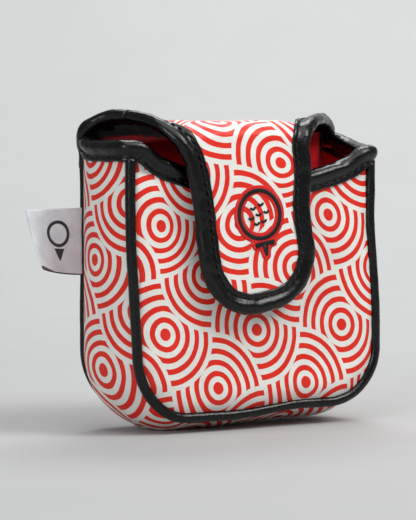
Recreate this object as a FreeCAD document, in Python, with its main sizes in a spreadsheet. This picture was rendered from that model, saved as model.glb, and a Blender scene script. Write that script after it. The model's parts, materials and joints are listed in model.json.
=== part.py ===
import FreeCAD, Part
import math
import os

import Sketcher

# A padded leather head cover for a mallet putter, in millimetres.
# +X is to the right of someone who faces the front panel, +Y points to the back, +Z up.
# The origin is on the floor, under the middle of the pouch.
# The pouch is a front panel, a back panel and a gusset that runs down one side, under the bottom and up the
# other side. Each is a sandwich of leather, foam and plush. A flap folds over the mouth in two folds.

DIMENSIONS = {
    # the seam line, where each panel meets the gusset
    "seam_width": 125.0,
    "seam_depth": 39.6,
    "seam_floor": 7.0,
    "corner_radius": 27.0,
    "side_top": 124.0,
    # the wall's layers
    "leather": 1.2,
    "foam": 2.2,
    "plush": 1.5,
    # the gusset's section: a flat crown between two rounded shoulders
    "bulge": 7.0,
    "crown_half": 11.5,
    "crown_radius": 8.1,
    "crown_angle": 65.0,
    # the front panel's dome
    "dome_radius": 600.0,
    "dome_middle": 52.0,
    "front_apex": 24.5,
    "panel_inset": 2.3,
    "mouth_dip": 15.5,
    # the back panel
    "back_face": 20.2,
    # piping in the two seams
    "piping_radius": 2.2,
    "piping_bore": 1.5,
    "cord_play": 0.05,
    "piping_out": 0.25,
    "flange": 1.2,
    "flange_end": 13.6,
    # bindings folded over the raw edges
    "binding": 1.0,
    "binding_wide": 9.0,
    # the flap: its two fold axes, its outline and its gap to the front panel
    "rear_axis": 12.8,
    "front_axis": -20.2,
    "fold_height": 126.1,
    "fold_inner": 2.5,
    "rear_drop": 3.2,
    "front_drop": 2.6,
    "fold_lead": 2.0,
    "body_gap": 0.3,
    "flap_front_half": 28.8,
    "flap_lean": 8.0,
    "flap_side": -9.6,
    "flap_tip": 53.0,
    "flap_corner": 23.0,
    "rest_gap": 2.4,
    # the closure magnets
    "magnet_radius": 7.0,
    "magnet_thick": 1.6,
    "magnet_side": 12.0,
    "magnet_height": 67.0,
    "magnet_play": 0.3,
    # the embroidered ball and tee
    "emblem_side": -2.0,
    "emblem_height": 89.0,
    "ball_radius": 9.5,
    "ball_rise": 5.0,
    "stitch_wide": 1.6,
    "border_wide": 1.2,
    "border_thick": 0.4,
    "thread_thick": 0.5,
    "tee_half": 5.0,
    "tee_drop": 14.5,
    # the folded label in the back seam
    "label_root": 67.4,
    "label_long": 27.0,
    "label_tall": 29.0,
    "label_low": 66.5,
    "label_thick": 0.35,
    "label_gap": 1.0,
}

V = FreeCAD.Vector
START, END, CENTRE = 1, 2, 3
HORIZONTAL_AXIS, VERTICAL_AXIS = -1, -2
REACH = 100.0  # half the length of a cutting prism, well outside the part

doc = FreeCAD.newDocument("putter_cover")
sheet = doc.addObject("Spreadsheet::Sheet", "dims")


class Size:
    """A length worked out from the sheet's cells: its value now, and the expression that it follows."""

    def __init__(self, value, text):
        self.value = value
        self.text = text

    def _with(self, other, sign, value):
        return Size(value, f"({self.text} {sign} {as_size(other).text})")

    def __add__(self, other):
        return self._with(other, "+", self.value + as_size(other).value)

    def __sub__(self, other):
        return self._with(other, "-", self.value - as_size(other).value)

    def __mul__(self, other):
        return self._with(other, "*", self.value * as_size(other).value)

    def __truediv__(self, other):
        return self._with(other, "/", self.value / as_size(other).value)

    def __neg__(self):
        return Size(-self.value, f"(0 - {self.text})")


def as_size(number):
    return number if isinstance(number, Size) else Size(float(number), repr(float(number)))


def cell(alias):
    return Size(DIMENSIONS[alias], f"dims.{alias}")


def fill_sheet():
    for row, (alias, value) in enumerate(DIMENSIONS.items(), 1):
        sheet.set(f"A{row}", alias)
        sheet.set(f"B{row}", str(value))
        sheet.setAlias(f"B{row}", alias)
    doc.recompute()


def bind(thing, prop, size):
    size = as_size(size)
    thing.setExpression(prop, size.text)


def place(thing, x=0.0, y=0.0, z=0.0):
    for axis, size in zip("xyz", (x, y, z)):
        bind(thing, f"Placement.Base.{axis}", size)


# ---- sketches


def new_body(name):
    return doc.addObject("PartDesign::Body", name)


def sketch_on(body, name, role, offset=0.0):
    """A sketch on one of the body's origin planes, moved along the plane's normal (-Y for XZ_Plane)."""
    sketch = body.newObject("Sketcher::SketchObject", name)
    support = next(f for f in body.Origin.OriginFeatures if f.Role == role)
    sketch.AttachmentSupport = (support, [""])
    sketch.MapMode = "FlatFace"
    bind(sketch, "AttachmentOffset.Base.z", offset)
    return sketch


def dimension(sketch, name, kind, *args):
    """A named constraint whose size, the last argument, follows the sheet."""
    *where, size = args
    size = as_size(size)
    index = sketch.addConstraint(Sketcher.Constraint(kind, *where, size.value))
    sketch.renameConstraint(index, name)
    sketch.setExpression(f"Constraints.{name}", size.text)


def relate(sketch, kind, *args):
    sketch.addConstraint(Sketcher.Constraint(kind, *args))


def line(sketch, p, q):
    return sketch.addGeometry(Part.LineSegment(V(*p, 0), V(*q, 0)))


def arc(sketch, centre, radius, start_deg, end_deg):
    """Counterclockwise, so its start is at start_deg."""
    circle = Part.Circle(V(*centre, 0), V(0, 0, 1), radius)
    return sketch.addGeometry(
        Part.ArcOfCircle(circle, math.radians(start_deg), math.radians(end_deg))
    )


def u_shape(sketch, half, floor, radius, top, dip=None, closed=True):
    """A U of two legs, two corner arcs and a bottom. Its top is open, straight, or an arc that dips."""
    w, z0, r, zt = half.value, floor.value, radius.value, top.value
    left = line(sketch, (-w, zt), (-w, z0 + r))
    left_arc = arc(sketch, (r - w, z0 + r), r, 180, 270)
    bottom = line(sketch, (r - w, z0), (w - r, z0))
    right_arc = arc(sketch, (w - r, z0 + r), r, 270, 360)
    right = line(sketch, (w, z0 + r), (w, zt))
    run = [left, left_arc, bottom, right_arc, right]
    for a, b in zip(run, run[1:]):
        relate(sketch, "Tangent", a, END, b, START)
    relate(sketch, "Vertical", left)
    relate(sketch, "Equal", left_arc, right_arc)
    relate(sketch, "Symmetric", left, START, right, END, VERTICAL_AXIS)
    dimension(sketch, "across", "DistanceX", left, START, right, END, half * 2)
    dimension(sketch, "corner", "Radius", left_arc, radius)
    dimension(sketch, "floor", "DistanceY", -1, START, bottom, START, floor)
    dimension(sketch, "top", "DistanceY", -1, START, right, END, top)
    if not closed:
        return
    if dip is None:
        lid = line(sketch, (w, zt), (-w, zt))
        relate(sketch, "Coincident", right, END, lid, START)
        relate(sketch, "Coincident", lid, END, left, START)
        return
    sag = dip.value
    bow = (w * w + sag * sag) / (2 * sag)
    turn = math.degrees(math.asin(w / bow))
    lid = arc(sketch, (0, zt - sag + bow), bow, 270 - turn, 270 + turn)
    relate(sketch, "Coincident", lid, START, left, START)
    relate(sketch, "Coincident", lid, END, right, END)
    dimension(sketch, "dip", "Radius", lid, (half * half + dip * dip) / (dip * 2))


def band_section(sketch, half, outer, inner):
    """The gusset's section between two depths below its leather, at x = -half in the sketch's plane.
    Two shoulders of crown_radius join a flat crown, and each ends on a line through its shoulder's centre."""
    crown, reach = cell("crown_half"), cell("bulge")
    r_out, r_in = cell("crown_radius") - outer, cell("crown_radius") - inner
    cx = -half.value - (reach - cell("crown_radius")).value
    turn = DIMENSIONS["crown_angle"]
    f, ro, ri = crown.value, r_out.value, r_in.value

    def at(radius, side):
        a = math.radians(turn)
        return (cx - radius * math.cos(a), side * (f + radius * math.sin(a)))

    crest = line(sketch, (cx - ro, f), (cx - ro, -f))
    low_out = arc(sketch, (cx, -f), ro, 180, 180 + turn)
    low_end = line(sketch, at(ro, -1), at(ri, -1))
    low_in = arc(sketch, (cx, -f), ri, 180, 180 + turn)
    trough = line(sketch, (cx - ri, -f), (cx - ri, f))
    high_in = arc(sketch, (cx, f), ri, 180 - turn, 180)
    high_end = line(sketch, at(ri, 1), at(ro, 1))
    high_out = arc(sketch, (cx, f), ro, 180 - turn, 180)
    relate(sketch, "Tangent", crest, END, low_out, START)
    relate(sketch, "Tangent", high_out, END, crest, START)
    relate(sketch, "Tangent", low_in, START, trough, START)
    relate(sketch, "Tangent", trough, END, high_in, END)
    for out_arc, end, in_arc, first, last in (
        (low_out, low_end, low_in, END, END),
        (high_in, high_end, high_out, START, START),
    ):
        relate(sketch, "Coincident", out_arc, first, end, START)
        relate(sketch, "Coincident", end, END, in_arc, last)
        relate(sketch, "Coincident", out_arc, CENTRE, in_arc, CENTRE)
        relate(sketch, "PointOnObject", out_arc, CENTRE, end)
    relate(sketch, "Symmetric", crest, START, crest, END, HORIZONTAL_AXIS)
    relate(sketch, "Equal", low_out, high_out)
    relate(sketch, "Symmetric", low_end, END, high_end, START, HORIZONTAL_AXIS)
    dimension(sketch, "crown", "DistanceY", crest, END, crest, START, crown * 2)
    dimension(sketch, "outside", "Radius", low_out, r_out)
    dimension(sketch, "inside", "Radius", low_in, r_in)
    dimension(sketch, "sideways", "DistanceX", crest, START, -1, START, half + reach - outer)
    dimension(
        sketch, "shoulder", "DistanceX", low_out, END, low_out, CENTRE, r_out * math.cos(math.radians(turn))
    )


def polygon(sketch, points):
    """Straight runs between fixed corners. Each corner is a pair of Sizes, measured from the origin."""
    corners = [(as_size(a), as_size(b)) for a, b in points]
    edges = [
        line(sketch, (a[0].value, a[1].value), (b[0].value, b[1].value))
        for a, b in zip(corners, corners[1:] + corners[:1])
    ]
    for i, (edge, corner) in enumerate(zip(edges, corners)):
        relate(sketch, "Coincident", edges[i - 1], END, edge, START)
        for kind, size in zip(("DistanceX", "DistanceY"), corner):
            name = f"{kind[-1].lower()}_of_{i}"
            if size.value >= 0:
                dimension(sketch, name, kind, -1, START, edge, START, size)
            else:
                dimension(sketch, name, kind, edge, START, -1, START, -size)


def disc(sketch, x, y, radius):
    x, y, radius = as_size(x), as_size(y), as_size(radius)
    ring = sketch.addGeometry(Part.Circle(V(x.value, y.value, 0), V(0, 0, 1), radius.value))
    n = sketch.ConstraintCount
    dimension(sketch, f"radius_{n}", "Radius", ring, radius)
    for kind, size in (("DistanceX", x), ("DistanceY", y)):
        name = f"{kind}_{n}"
        if size.value >= 0:
            dimension(sketch, name, kind, -1, START, ring, CENTRE, size)
        else:
            dimension(sketch, name, kind, ring, CENTRE, -1, START, -size)


# ---- features and booleans


def pad(body, sketch, length, midplane=False):
    feature = body.newObject("PartDesign::Pad", f"{body.Name}_pad")
    feature.Profile = sketch
    bind(feature, "Length", length)
    if midplane:
        feature.SideType = "Symmetric"
    return feature


def pocket_through(body, sketch):
    feature = body.newObject("PartDesign::Pocket", f"{body.Name}_pocket")
    feature.Profile = sketch
    feature.Length = 2 * REACH
    feature.SideType = "Symmetric"
    return feature


def pipe(body, profile, path):
    feature = body.newObject("PartDesign::AdditivePipe", f"{body.Name}_pipe")
    feature.Profile = profile
    edges = [f"Edge{i + 1}" for i in range(path.GeometryCount)]
    feature.Spine = (path, edges)
    return feature


def mirror_x(body, feature):
    """Adds the same feature on the other side of the YZ plane."""
    twin = body.newObject("PartDesign::Mirrored", f"{body.Name}_mirrored")
    twin.Originals = [feature]
    support = next(f for f in body.Origin.OriginFeatures if f.Role == "YZ_Plane")
    twin.MirrorPlane = (support, [""])
    body.Tip = twin
    return twin


def common(name, base, tool):
    both = doc.addObject("Part::Common", name)
    both.Base, both.Tool = base, tool
    return both


def cut(name, base, tool):
    rest = doc.addObject("Part::Cut", name)
    rest.Base, rest.Tool = base, tool
    return rest


def fuse(name, shapes):
    whole = doc.addObject("Part::MultiFuse", name)
    whole.Shapes = shapes
    return whole


def compound(name, shapes):
    group = doc.addObject("Part::Compound", name)
    group.Links = shapes
    return group


def dome_shell(name, outer, inner):
    """The space between two spheres about the dome's centre, at two heights above the leather."""
    skins = []
    for part, height in (("outer", outer), ("inner", inner)):
        ball = doc.addObject("Part::Sphere", f"{name}_{part}")
        bind(ball, "Radius", cell("dome_radius") + height)
        place(ball, y=cell("dome_radius") - cell("front_apex"), z=cell("dome_middle"))
        skins.append(ball)
    return cut(name, *skins)


def prism(name, draw):
    """A bar along Y with the outline that draw makes in the XZ plane."""
    body = new_body(name)
    sketch = sketch_on(body, f"{name}_outline", "XZ_Plane")
    draw(sketch)
    pad(body, sketch, 2 * REACH, midplane=True)
    return body


def cylinder_y(name, x, y_middle, z, radius, length):
    rod = doc.addObject("Part::Cylinder", name)
    bind(rod, "Radius", radius)
    bind(rod, "Height", length)
    rod.Placement = FreeCAD.Placement(V(0, 0, 0), FreeCAD.Rotation(V(1, 0, 0), 90))
    place(rod, x, as_size(y_middle) + as_size(length) / 2, z)
    return rod


# ---- lengths used by several pieces

wall = cell("leather") + cell("foam") + cell("plush")
seam_half = cell("seam_width") / 2
panel_half = seam_half - cell("panel_inset")
panel_floor = cell("seam_floor") + cell("panel_inset")
panel_corner = cell("corner_radius") - cell("panel_inset")
binding_low = cell("side_top") - cell("binding_wide")
back_top = cell("fold_height") - cell("rear_drop")
LAYERS = {
    # name: depth of its outer face and of its inner face below the leather's face
    "leather": (as_size(0), cell("leather")),
    "foam": (cell("leather"), cell("leather") + cell("foam")),
    "plush": (cell("leather") + cell("foam"), wall),
}


# ---- the pouch


def gusset_layer(name, layer):
    """One layer of the strip that runs down one side, under the bottom and up the other side."""
    outer, inner = LAYERS[layer]
    body = new_body(name)
    path = sketch_on(body, f"{name}_path", "XZ_Plane")
    u_shape(path, seam_half, cell("seam_floor"), cell("corner_radius"), cell("side_top"), closed=False)
    section = sketch_on(body, f"{name}_section", "XY_Plane", cell("side_top"))
    band_section(section, seam_half, outer, inner)
    pipe(body, section, path)
    return body


def front_layer(name, layer, outline):
    outer, inner = LAYERS[layer]
    return common(name, outline, dome_shell(f"{name}_shell", -outer, -inner))


def back_layer(name, layer):
    outer, inner = LAYERS[layer]
    body = new_body(name)
    sketch = sketch_on(body, f"{name}_outline", "XZ_Plane", outer - cell("back_face"))
    u_shape(sketch, panel_half, panel_floor, panel_corner, back_top)
    pad(body, sketch, inner - outer)
    return body


def piping_path(body, name, side):
    out = cell("piping_out")
    path = sketch_on(body, name, "XZ_Plane", cell("seam_depth") / 2 * -side)
    low, corner = cell("seam_floor") - out, cell("corner_radius") + out
    u_shape(path, seam_half + out, low, corner, binding_low, closed=False)
    return path


FLANGE_INSET = 0.4  # how far the piping's flange lies inside the seam line
FLANGE_FACE = 1.6  # how far it starts behind the seam's plane


def piping_cover(name, side):
    """Leather wrapped round the cord, with a flange sewn between panel and gusset. side is -1 in front."""
    body = new_body(name)
    path = piping_path(body, f"{name}_path", side)
    ring = sketch_on(body, f"{name}_ring", "XY_Plane", binding_low)
    x, y = -seam_half - cell("piping_out"), cell("seam_depth") / 2 * side
    disc(ring, x, y, cell("piping_radius"))
    disc(ring, x, y, cell("piping_bore"))
    pipe(body, ring, path)
    tail = sketch_on(body, f"{name}_tail", "XY_Plane", binding_low)
    half = seam_half - FLANGE_INSET
    near, far = as_size(0) - half, cell("flange") - half
    deep, face = cell("flange_end") * side, (cell("seam_depth") / 2 - FLANGE_FACE) * side
    polygon(tail, [(near, face), (near, deep), (far, deep), (far, face)])
    flange_path = sketch_on(body, f"{name}_flange_path", "XZ_Plane", cell("seam_depth") / 2 * -side)
    low, corner = cell("seam_floor") + FLANGE_INSET, cell("corner_radius") - FLANGE_INSET
    u_shape(flange_path, half, low, corner, binding_low, closed=False)
    pipe(body, tail, flange_path)
    return body


def piping_cord(name, side):
    body = new_body(name)
    path = piping_path(body, f"{name}_path", side)
    core = sketch_on(body, f"{name}_core", "XY_Plane", binding_low)
    x, y = -seam_half - cell("piping_out"), cell("seam_depth") / 2 * side
    disc(core, x, y, cell("piping_bore") - cell("cord_play"))
    pipe(body, core, path)
    return body


def mouth_band(sketch):
    """The strip of the front panel that the mouth's binding covers: two arcs about one centre."""
    w, top, sag = panel_half.value, DIMENSIONS["side_top"], DIMENSIONS["mouth_dip"]
    bow = (w * w + sag * sag) / (2 * sag)
    middle = top - sag + bow
    over, under = bow - DIMENSIONS["binding"], bow + DIMENSIONS["binding_wide"]
    turns = [math.degrees(math.asin(w / radius)) for radius in (over, under)]
    high = arc(sketch, (0, middle), over, 270 - turns[0], 270 + turns[0])
    low = arc(sketch, (0, middle), under, 270 - turns[1], 270 + turns[1])
    upper, lower = middle - math.sqrt(over**2 - w * w), middle - math.sqrt(under**2 - w * w)
    ends = [line(sketch, (s * w, upper), (s * w, lower)) for s in (-1, 1)]
    for end, place_on_arc in zip(ends, (START, END)):
        relate(sketch, "Coincident", high, place_on_arc, end, START)
        relate(sketch, "Coincident", low, place_on_arc, end, END)
        relate(sketch, "Vertical", end)
    relate(sketch, "Coincident", high, CENTRE, low, CENTRE)
    relate(sketch, "Symmetric", ends[0], START, ends[1], START, VERTICAL_AXIS)
    half, dip = panel_half, cell("mouth_dip")
    bow_size = (half * half + dip * dip) / (dip * 2)
    dimension(sketch, "over", "Radius", high, bow_size - cell("binding"))
    dimension(sketch, "under", "Radius", low, bow_size + cell("binding_wide"))
    dimension(sketch, "across", "DistanceX", ends[0], START, ends[1], START, half * 2)
    dimension(sketch, "middle", "DistanceY", -1, START, high, CENTRE, cell("side_top") - dip + bow_size)


def side_band(name):
    """The strip of both gusset legs that the mouth's binding covers."""
    body = new_body(name)
    section = sketch_on(body, f"{name}_section", "XY_Plane", binding_low)
    band_section(section, seam_half, -cell("binding"), wall + cell("binding"))
    leg = pad(body, section, cell("side_top") + cell("binding") - binding_low)
    mirror_x(body, leg)
    return body


def corner_posts(name):
    """Rounds the mouth's binding over the top ends of the front piping and closes its corners."""
    posts = []
    for side in (-1, 1):
        post = doc.addObject("Part::Cylinder", f"{name}_{'left' if side < 0 else 'right'}")
        bind(post, "Radius", cell("piping_radius") + cell("binding"))
        bind(post, "Height", cell("side_top") + cell("binding") - binding_low)
        place(post, (seam_half - 0.4) * side, cell("seam_depth") / 2 * -1 + 1.0, binding_low)
        posts.append(post)
    return posts


def shoulder_strip(name, side):
    """The part of the flap's binding that runs down the back panel's edge to the seam."""
    strip = doc.addObject("Part::Box", name)
    bind(strip, "Length", cell("binding_wide"))
    bind(strip, "Width", wall + cell("binding") * 2)
    bind(strip, "Height", back_top - binding_low)
    edge = panel_half + cell("binding")
    left = edge - cell("binding_wide") if side > 0 else -edge
    place(strip, left, cell("back_face") + cell("binding") - (wall + cell("binding") * 2), binding_low)
    return strip


def make_pouch():
    nodes = {}
    outline = prism(
        "front_outline",
        lambda s: u_shape(s, panel_half, panel_floor, panel_corner, cell("side_top"), dip=cell("mouth_dip")),
    )
    names = {"leather": "panel", "foam": "foam", "plush": "lining"}
    for layer, word in names.items():
        nodes[f"gusset_{word}"] = gusset_layer(f"gusset_{word}", layer)
        nodes[f"back_{word}"] = back_layer(f"back_{word}", layer)
    nodes["front_panel"] = front_layer("front_panel", "leather", outline)
    nodes["front_lining"] = front_layer("front_lining", "plush", outline)
    solid_foam = front_layer("front_foam_sheet", "foam", outline)
    seat_radius = cell("magnet_radius") + cell("magnet_play")
    seats = magnets("pouch_magnet", seat_radius, cell("foam") * 4, in_flap=False)
    nodes["front_foam"] = cut("front_foam", solid_foam, compound("pouch_magnet_seats", seats))
    discs = magnets("pouch_magnet_disc", cell("magnet_radius"), cell("magnet_thick"), in_flap=False)
    nodes["pouch_magnets"] = compound("pouch_magnets", discs)
    for where, side in (("front", -1), ("back", 1)):
        nodes[f"{where}_piping_cover"] = piping_cover(f"{where}_piping_cover", side)
        nodes[f"{where}_piping_cord"] = piping_cord(f"{where}_piping_cord", side)

    front_band = common(
        "mouth_front_band",
        prism("mouth_band_bar", mouth_band),
        dome_shell("mouth_shell", cell("binding"), -wall - cell("binding")),
    )
    thick = fuse("mouth_thick", [front_band, side_band("mouth_side_band"), *corner_posts("mouth_post")])
    wall_parts = [solid_foam] + [
        nodes[n] for n in ("front_panel", "front_lining", "gusset_panel", "gusset_foam", "gusset_lining")
    ]
    nodes["mouth_binding"] = cut("mouth_binding", thick, fuse("mouth_wall", wall_parts))

    strips = [shoulder_strip(f"shoulder_strip_{word}", sign) for word, sign in (("left", -1), ("right", 1))]
    backs = fuse("back_wall", [nodes[n] for n in ("back_panel", "back_foam", "back_lining")])
    nodes["shoulder_binding"] = cut("shoulder_binding", compound("shoulder_strips", strips), backs)
    return nodes


def magnets(name, radius, length, in_flap):
    """A pair of discs in the foam: the flap's over the pouch's when the flap is shut."""
    side, height = cell("magnet_side"), cell("magnet_height")
    rise = height - cell("dome_middle")
    drop = (side * side + rise * rise) / (cell("dome_radius") * 2)
    if in_flap:
        depth = cell("front_apex") + cell("rest_gap") + cell("plush") + cell("foam") / 2
    else:
        depth = cell("front_apex") - cell("leather") - cell("foam") / 2
    return [
        cylinder_y(f"{name}_{word}", side * sign, drop - depth, height, radius, length)
        for word, sign in (("left", -1), ("right", 1))
    ]


# ---- the flap

flap_face = cell("rest_gap") + wall  # the flap's leather face above the front panel's
leaf_top = cell("fold_height") - cell("front_drop") - cell("body_gap")
front_fold_half = cell("flap_front_half") / math.cos(math.radians(DIMENSIONS["flap_lean"]))
FOLD_RADII = {
    # distances of each layer's inner and outer face from a fold's axis
    "plush": (cell("fold_inner"), cell("fold_inner") + cell("plush")),
    "foam": (cell("fold_inner") + cell("plush"), cell("fold_inner") + wall - cell("leather")),
    "leather": (cell("fold_inner") + wall - cell("leather"), cell("fold_inner") + wall),
    "binding": (cell("fold_inner") - cell("binding"), cell("fold_inner") + wall + cell("binding")),
}


def lean_about(body, x, z):
    """Leans a piece to the left about a point of the front view, as the whole flap leans."""
    turn = FreeCAD.Placement(V(0, 0, 0), FreeCAD.Rotation(V(0, -1, 0), DIMENSIONS["flap_lean"]))
    body.Placement = turn
    bind(body, "Placement.Rotation.Angle", cell("flap_lean"))
    place(body, x, 0.0, z)


def leaf_bar(name, grow):
    """A bar along Y with the outline of the flap's front leaf, grown by a length and cut level at its top."""
    past = cell("fold_height")

    def draw(sketch):
        u_shape(
            sketch,
            cell("flap_front_half") + grow,
            cell("flap_tip") - grow - past,
            cell("flap_corner") + grow,
            cell("flap_corner"),
        )

    bar = prism(f"{name}_bar", draw)
    lean_about(bar, cell("flap_side"), past)
    below = doc.addObject("Part::Box", f"{name}_below")
    below.Length = below.Width = 2 * REACH
    bind(below, "Height", leaf_top)
    place(below, -REACH, -REACH, 0.0)
    return common(name, bar, below)


def roof_outline(sketch, grow):
    """The flap's top seen from above: as wide as the pouch at the rear fold and narrow at the front fold."""
    rear, front = cell("rear_axis") - cell("fold_lead"), cell("front_axis") + cell("fold_lead")
    wide, slim = panel_half + grow, front_fold_half + grow
    side = cell("flap_side")
    polygon(sketch, [(-wide, rear), (side - slim, front), (side + slim, front), (wide, rear)])


def roof_layer(name, layer, grow=None):
    near, far = FOLD_RADII[layer]
    body = new_body(name)
    sketch = sketch_on(body, f"{name}_outline", "XY_Plane", cell("fold_height") + near)
    roof_outline(sketch, as_size(0) if grow is None else grow)
    pad(body, sketch, far - near)
    return body


def fold_outline(sketch, near, far, lead, drop, rear):
    """A quarter bend about a fold's axis with a straight end on each side, in the YZ plane."""
    axis = (cell("rear_axis") if rear else cell("front_axis")).value
    height, ri, ro = DIMENSIONS["fold_height"], near.value, far.value
    side = 1 if rear else -1
    turn = (0, 90) if rear else (90, 180)
    tops = [line(sketch, (axis, height + r), (axis - side * lead.value, height + r)) for r in (ri, ro)]
    sides = [
        line(sketch, (axis + side * r, height), (axis + side * r, height - drop.value)) for r in (ri, ro)
    ]
    bends = [arc(sketch, (axis, height), r, *turn) for r in (ri, ro)]
    top_end = line(
        sketch, (axis - side * lead.value, height + ri), (axis - side * lead.value, height + ro)
    )
    side_end = line(
        sketch, (axis + side * ri, height - drop.value), (axis + side * ro, height - drop.value)
    )
    at_top, at_side = (END, START) if rear else (START, END)
    for i in (0, 1):
        relate(sketch, "Tangent", bends[i], at_top, tops[i], START)
        relate(sketch, "Tangent", bends[i], at_side, sides[i], START)
        relate(sketch, "Coincident", tops[i], END, top_end, START + i)
        relate(sketch, "Coincident", sides[i], END, side_end, START + i)
    relate(sketch, "Coincident", bends[0], CENTRE, bends[1], CENTRE)
    relate(sketch, "Horizontal", tops[0])
    relate(sketch, "Vertical", sides[0])
    relate(sketch, "Vertical", top_end)
    relate(sketch, "Horizontal", side_end)
    dimension(sketch, "inside", "Radius", bends[0], near)
    dimension(sketch, "outside", "Radius", bends[1], far)
    dimension(sketch, "drop", "DistanceY", side_end, START, bends[0], CENTRE, drop)
    dimension(sketch, "height", "DistanceY", -1, START, bends[0], CENTRE, cell("fold_height"))
    if rear:
        dimension(sketch, "lead", "DistanceX", top_end, START, bends[0], CENTRE, lead)
        dimension(sketch, "axis", "DistanceX", -1, START, bends[0], CENTRE, cell("rear_axis"))
    else:
        dimension(sketch, "lead", "DistanceX", bends[0], CENTRE, top_end, START, lead)
        dimension(sketch, "axis", "DistanceX", bends[0], CENTRE, -1, START, -cell("front_axis"))


def fold_layer(name, layer, rear, half, side):
    near, far = FOLD_RADII[layer]
    lead = cell("fold_lead") - cell("body_gap")
    drop = (cell("rear_drop") if rear else cell("front_drop")) - cell("body_gap")
    body = new_body(name)
    sketch = sketch_on(body, f"{name}_outline", "YZ_Plane")
    fold_outline(sketch, near, far, lead, drop, rear)
    pad(body, sketch, half * 2, midplane=True)
    place(body, side)
    return body


def edge_bars(name, half, side):
    """Two blocks that keep only the binding's width at each side edge of a strip of that half width."""
    wide, blocks = cell("binding_wide"), []
    for sign, word in ((-1, "left"), (1, "right")):
        block = doc.addObject("Part::Box", f"{name}_{word}")
        bind(block, "Length", wide)
        block.Width = block.Height = 2 * REACH
        inner_edge = half + cell("binding") - wide
        place(block, (inner_edge if sign > 0 else -half - cell("binding")) + side, -REACH, 0.0)
        blocks.append(block)
    return compound(f"{name}_bars", blocks)


def make_fold(where, rear, half, side):
    nodes = {}
    leather = fold_layer(f"{where}_fold_panel", "leather", rear, half, side)
    plush = fold_layer(f"{where}_fold_lining", "plush", rear, half, side)
    thick = fold_layer(f"{where}_fold_thick", "binding", rear, half + cell("binding"), side)
    edged = common(f"{where}_fold_edges", thick, edge_bars(f"{where}_fold", half, side))
    filled = fuse(f"{where}_fold_wall", [leather, plush])
    nodes[f"{where}_fold_panel"] = leather
    nodes[f"{where}_fold_lining"] = plush
    nodes[f"{where}_fold_binding"] = cut(f"{where}_fold_binding", edged, filled)
    return nodes


def make_roof():
    nodes = {
        "flap_top_panel": roof_layer("flap_top_panel", "leather"),
        "flap_top_foam": roof_layer("flap_top_foam", "foam"),
        "flap_top_lining": roof_layer("flap_top_lining", "plush"),
    }
    thick = roof_layer("flap_top_thick", "binding", cell("binding"))
    middle = new_body("flap_top_middle")
    sketch = sketch_on(middle, "flap_top_middle_outline", "XY_Plane")
    roof_outline(sketch, cell("binding") - cell("binding_wide"))
    pad(middle, sketch, 4 * REACH, midplane=True)
    edged = cut("flap_top_edges", thick, middle)
    nodes["flap_top_binding"] = cut("flap_top_binding", edged, fuse("flap_top_wall", list(nodes.values())))
    return nodes


def make_leaf():
    nodes = {}
    outline = leaf_bar("leaf_outline", as_size(0))
    heights = {name: (flap_face - outer, flap_face - inner) for name, (outer, inner) in LAYERS.items()}

    def layer(name, material):
        return common(name, outline, dome_shell(f"{name}_shell", *heights[material]))

    nodes["flap_front_panel"] = layer("flap_front_panel", "leather")
    nodes["flap_front_lining"] = layer("flap_front_lining", "plush")
    solid_foam = layer("flap_front_foam_sheet", "foam")
    seat_radius = cell("magnet_radius") + cell("magnet_play")
    seats = magnets("flap_magnet", seat_radius, cell("foam") * 4, in_flap=True)
    nodes["flap_front_foam"] = cut("flap_front_foam", solid_foam, compound("flap_magnet_seats", seats))
    discs = magnets("flap_magnet_disc", cell("magnet_radius"), cell("magnet_thick"), in_flap=True)
    nodes["flap_magnets"] = compound("flap_magnets", discs)

    edge = cell("binding")
    window = leaf_bar("leaf_window", edge - cell("binding_wide"))
    ring = cut("leaf_ring", leaf_bar("leaf_grown", edge), window)
    thick = common(
        "leaf_thick", ring, dome_shell("leaf_binding_shell", flap_face + edge, cell("rest_gap") - edge)
    )
    filled = fuse("leaf_wall", [nodes["flap_front_panel"], nodes["flap_front_lining"], solid_foam])
    nodes["flap_front_binding"] = cut("flap_front_binding", thick, filled)
    return nodes


# ---- the embroidery and the label


def ball_and_tee(name, ball, hole, grow):
    """A ring on a tee, as a bar along Y. grow is how far the tee stands out from its own lines."""
    rise, half, point = cell("ball_rise"), cell("tee_half"), -cell("tee_drop")
    body = new_body(name)
    disc_sketch = sketch_on(body, f"{name}_ball", "XZ_Plane")
    disc(disc_sketch, 0, rise, ball)
    pad(body, disc_sketch, 2 * REACH, midplane=True)
    tee_sketch = sketch_on(body, f"{name}_tee", "XZ_Plane")
    cup = rise - cell("ball_radius")
    blunt = cell("stitch_wide") / 2
    polygon(
        tee_sketch,
        [
            (-half - grow, cup + grow),
            (-half - grow, cup - cell("stitch_wide") - grow),
            (-blunt - grow, point - grow),
            (blunt + grow, point - grow),
            (half + grow, cup - cell("stitch_wide") - grow),
            (half + grow, cup + grow),
        ],
    )
    pad(body, tee_sketch, 2 * REACH, midplane=True)
    hole_sketch = sketch_on(body, f"{name}_hole", "XZ_Plane")
    disc(hole_sketch, 0, rise, hole)
    pocket_through(body, hole_sketch)
    lean_about(body, cell("emblem_side"), cell("emblem_height"))
    return body


def make_emblem():
    ball, stitch, border = cell("ball_radius"), cell("stitch_wide"), cell("border_wide")
    low, mid = flap_face, flap_face + cell("border_thick")
    under = ball_and_tee("emblem_border_bar", ball + border, ball - stitch - border, border)
    over = ball_and_tee("emblem_thread_bar", ball, ball - stitch, as_size(0))
    return {
        "emblem_border": common("emblem_border", under, dome_shell("emblem_border_shell", mid, low)),
        "emblem_thread": common(
            "emblem_thread", over, dome_shell("emblem_thread_shell", mid + cell("thread_thick"), mid)
        ),
    }


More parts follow.
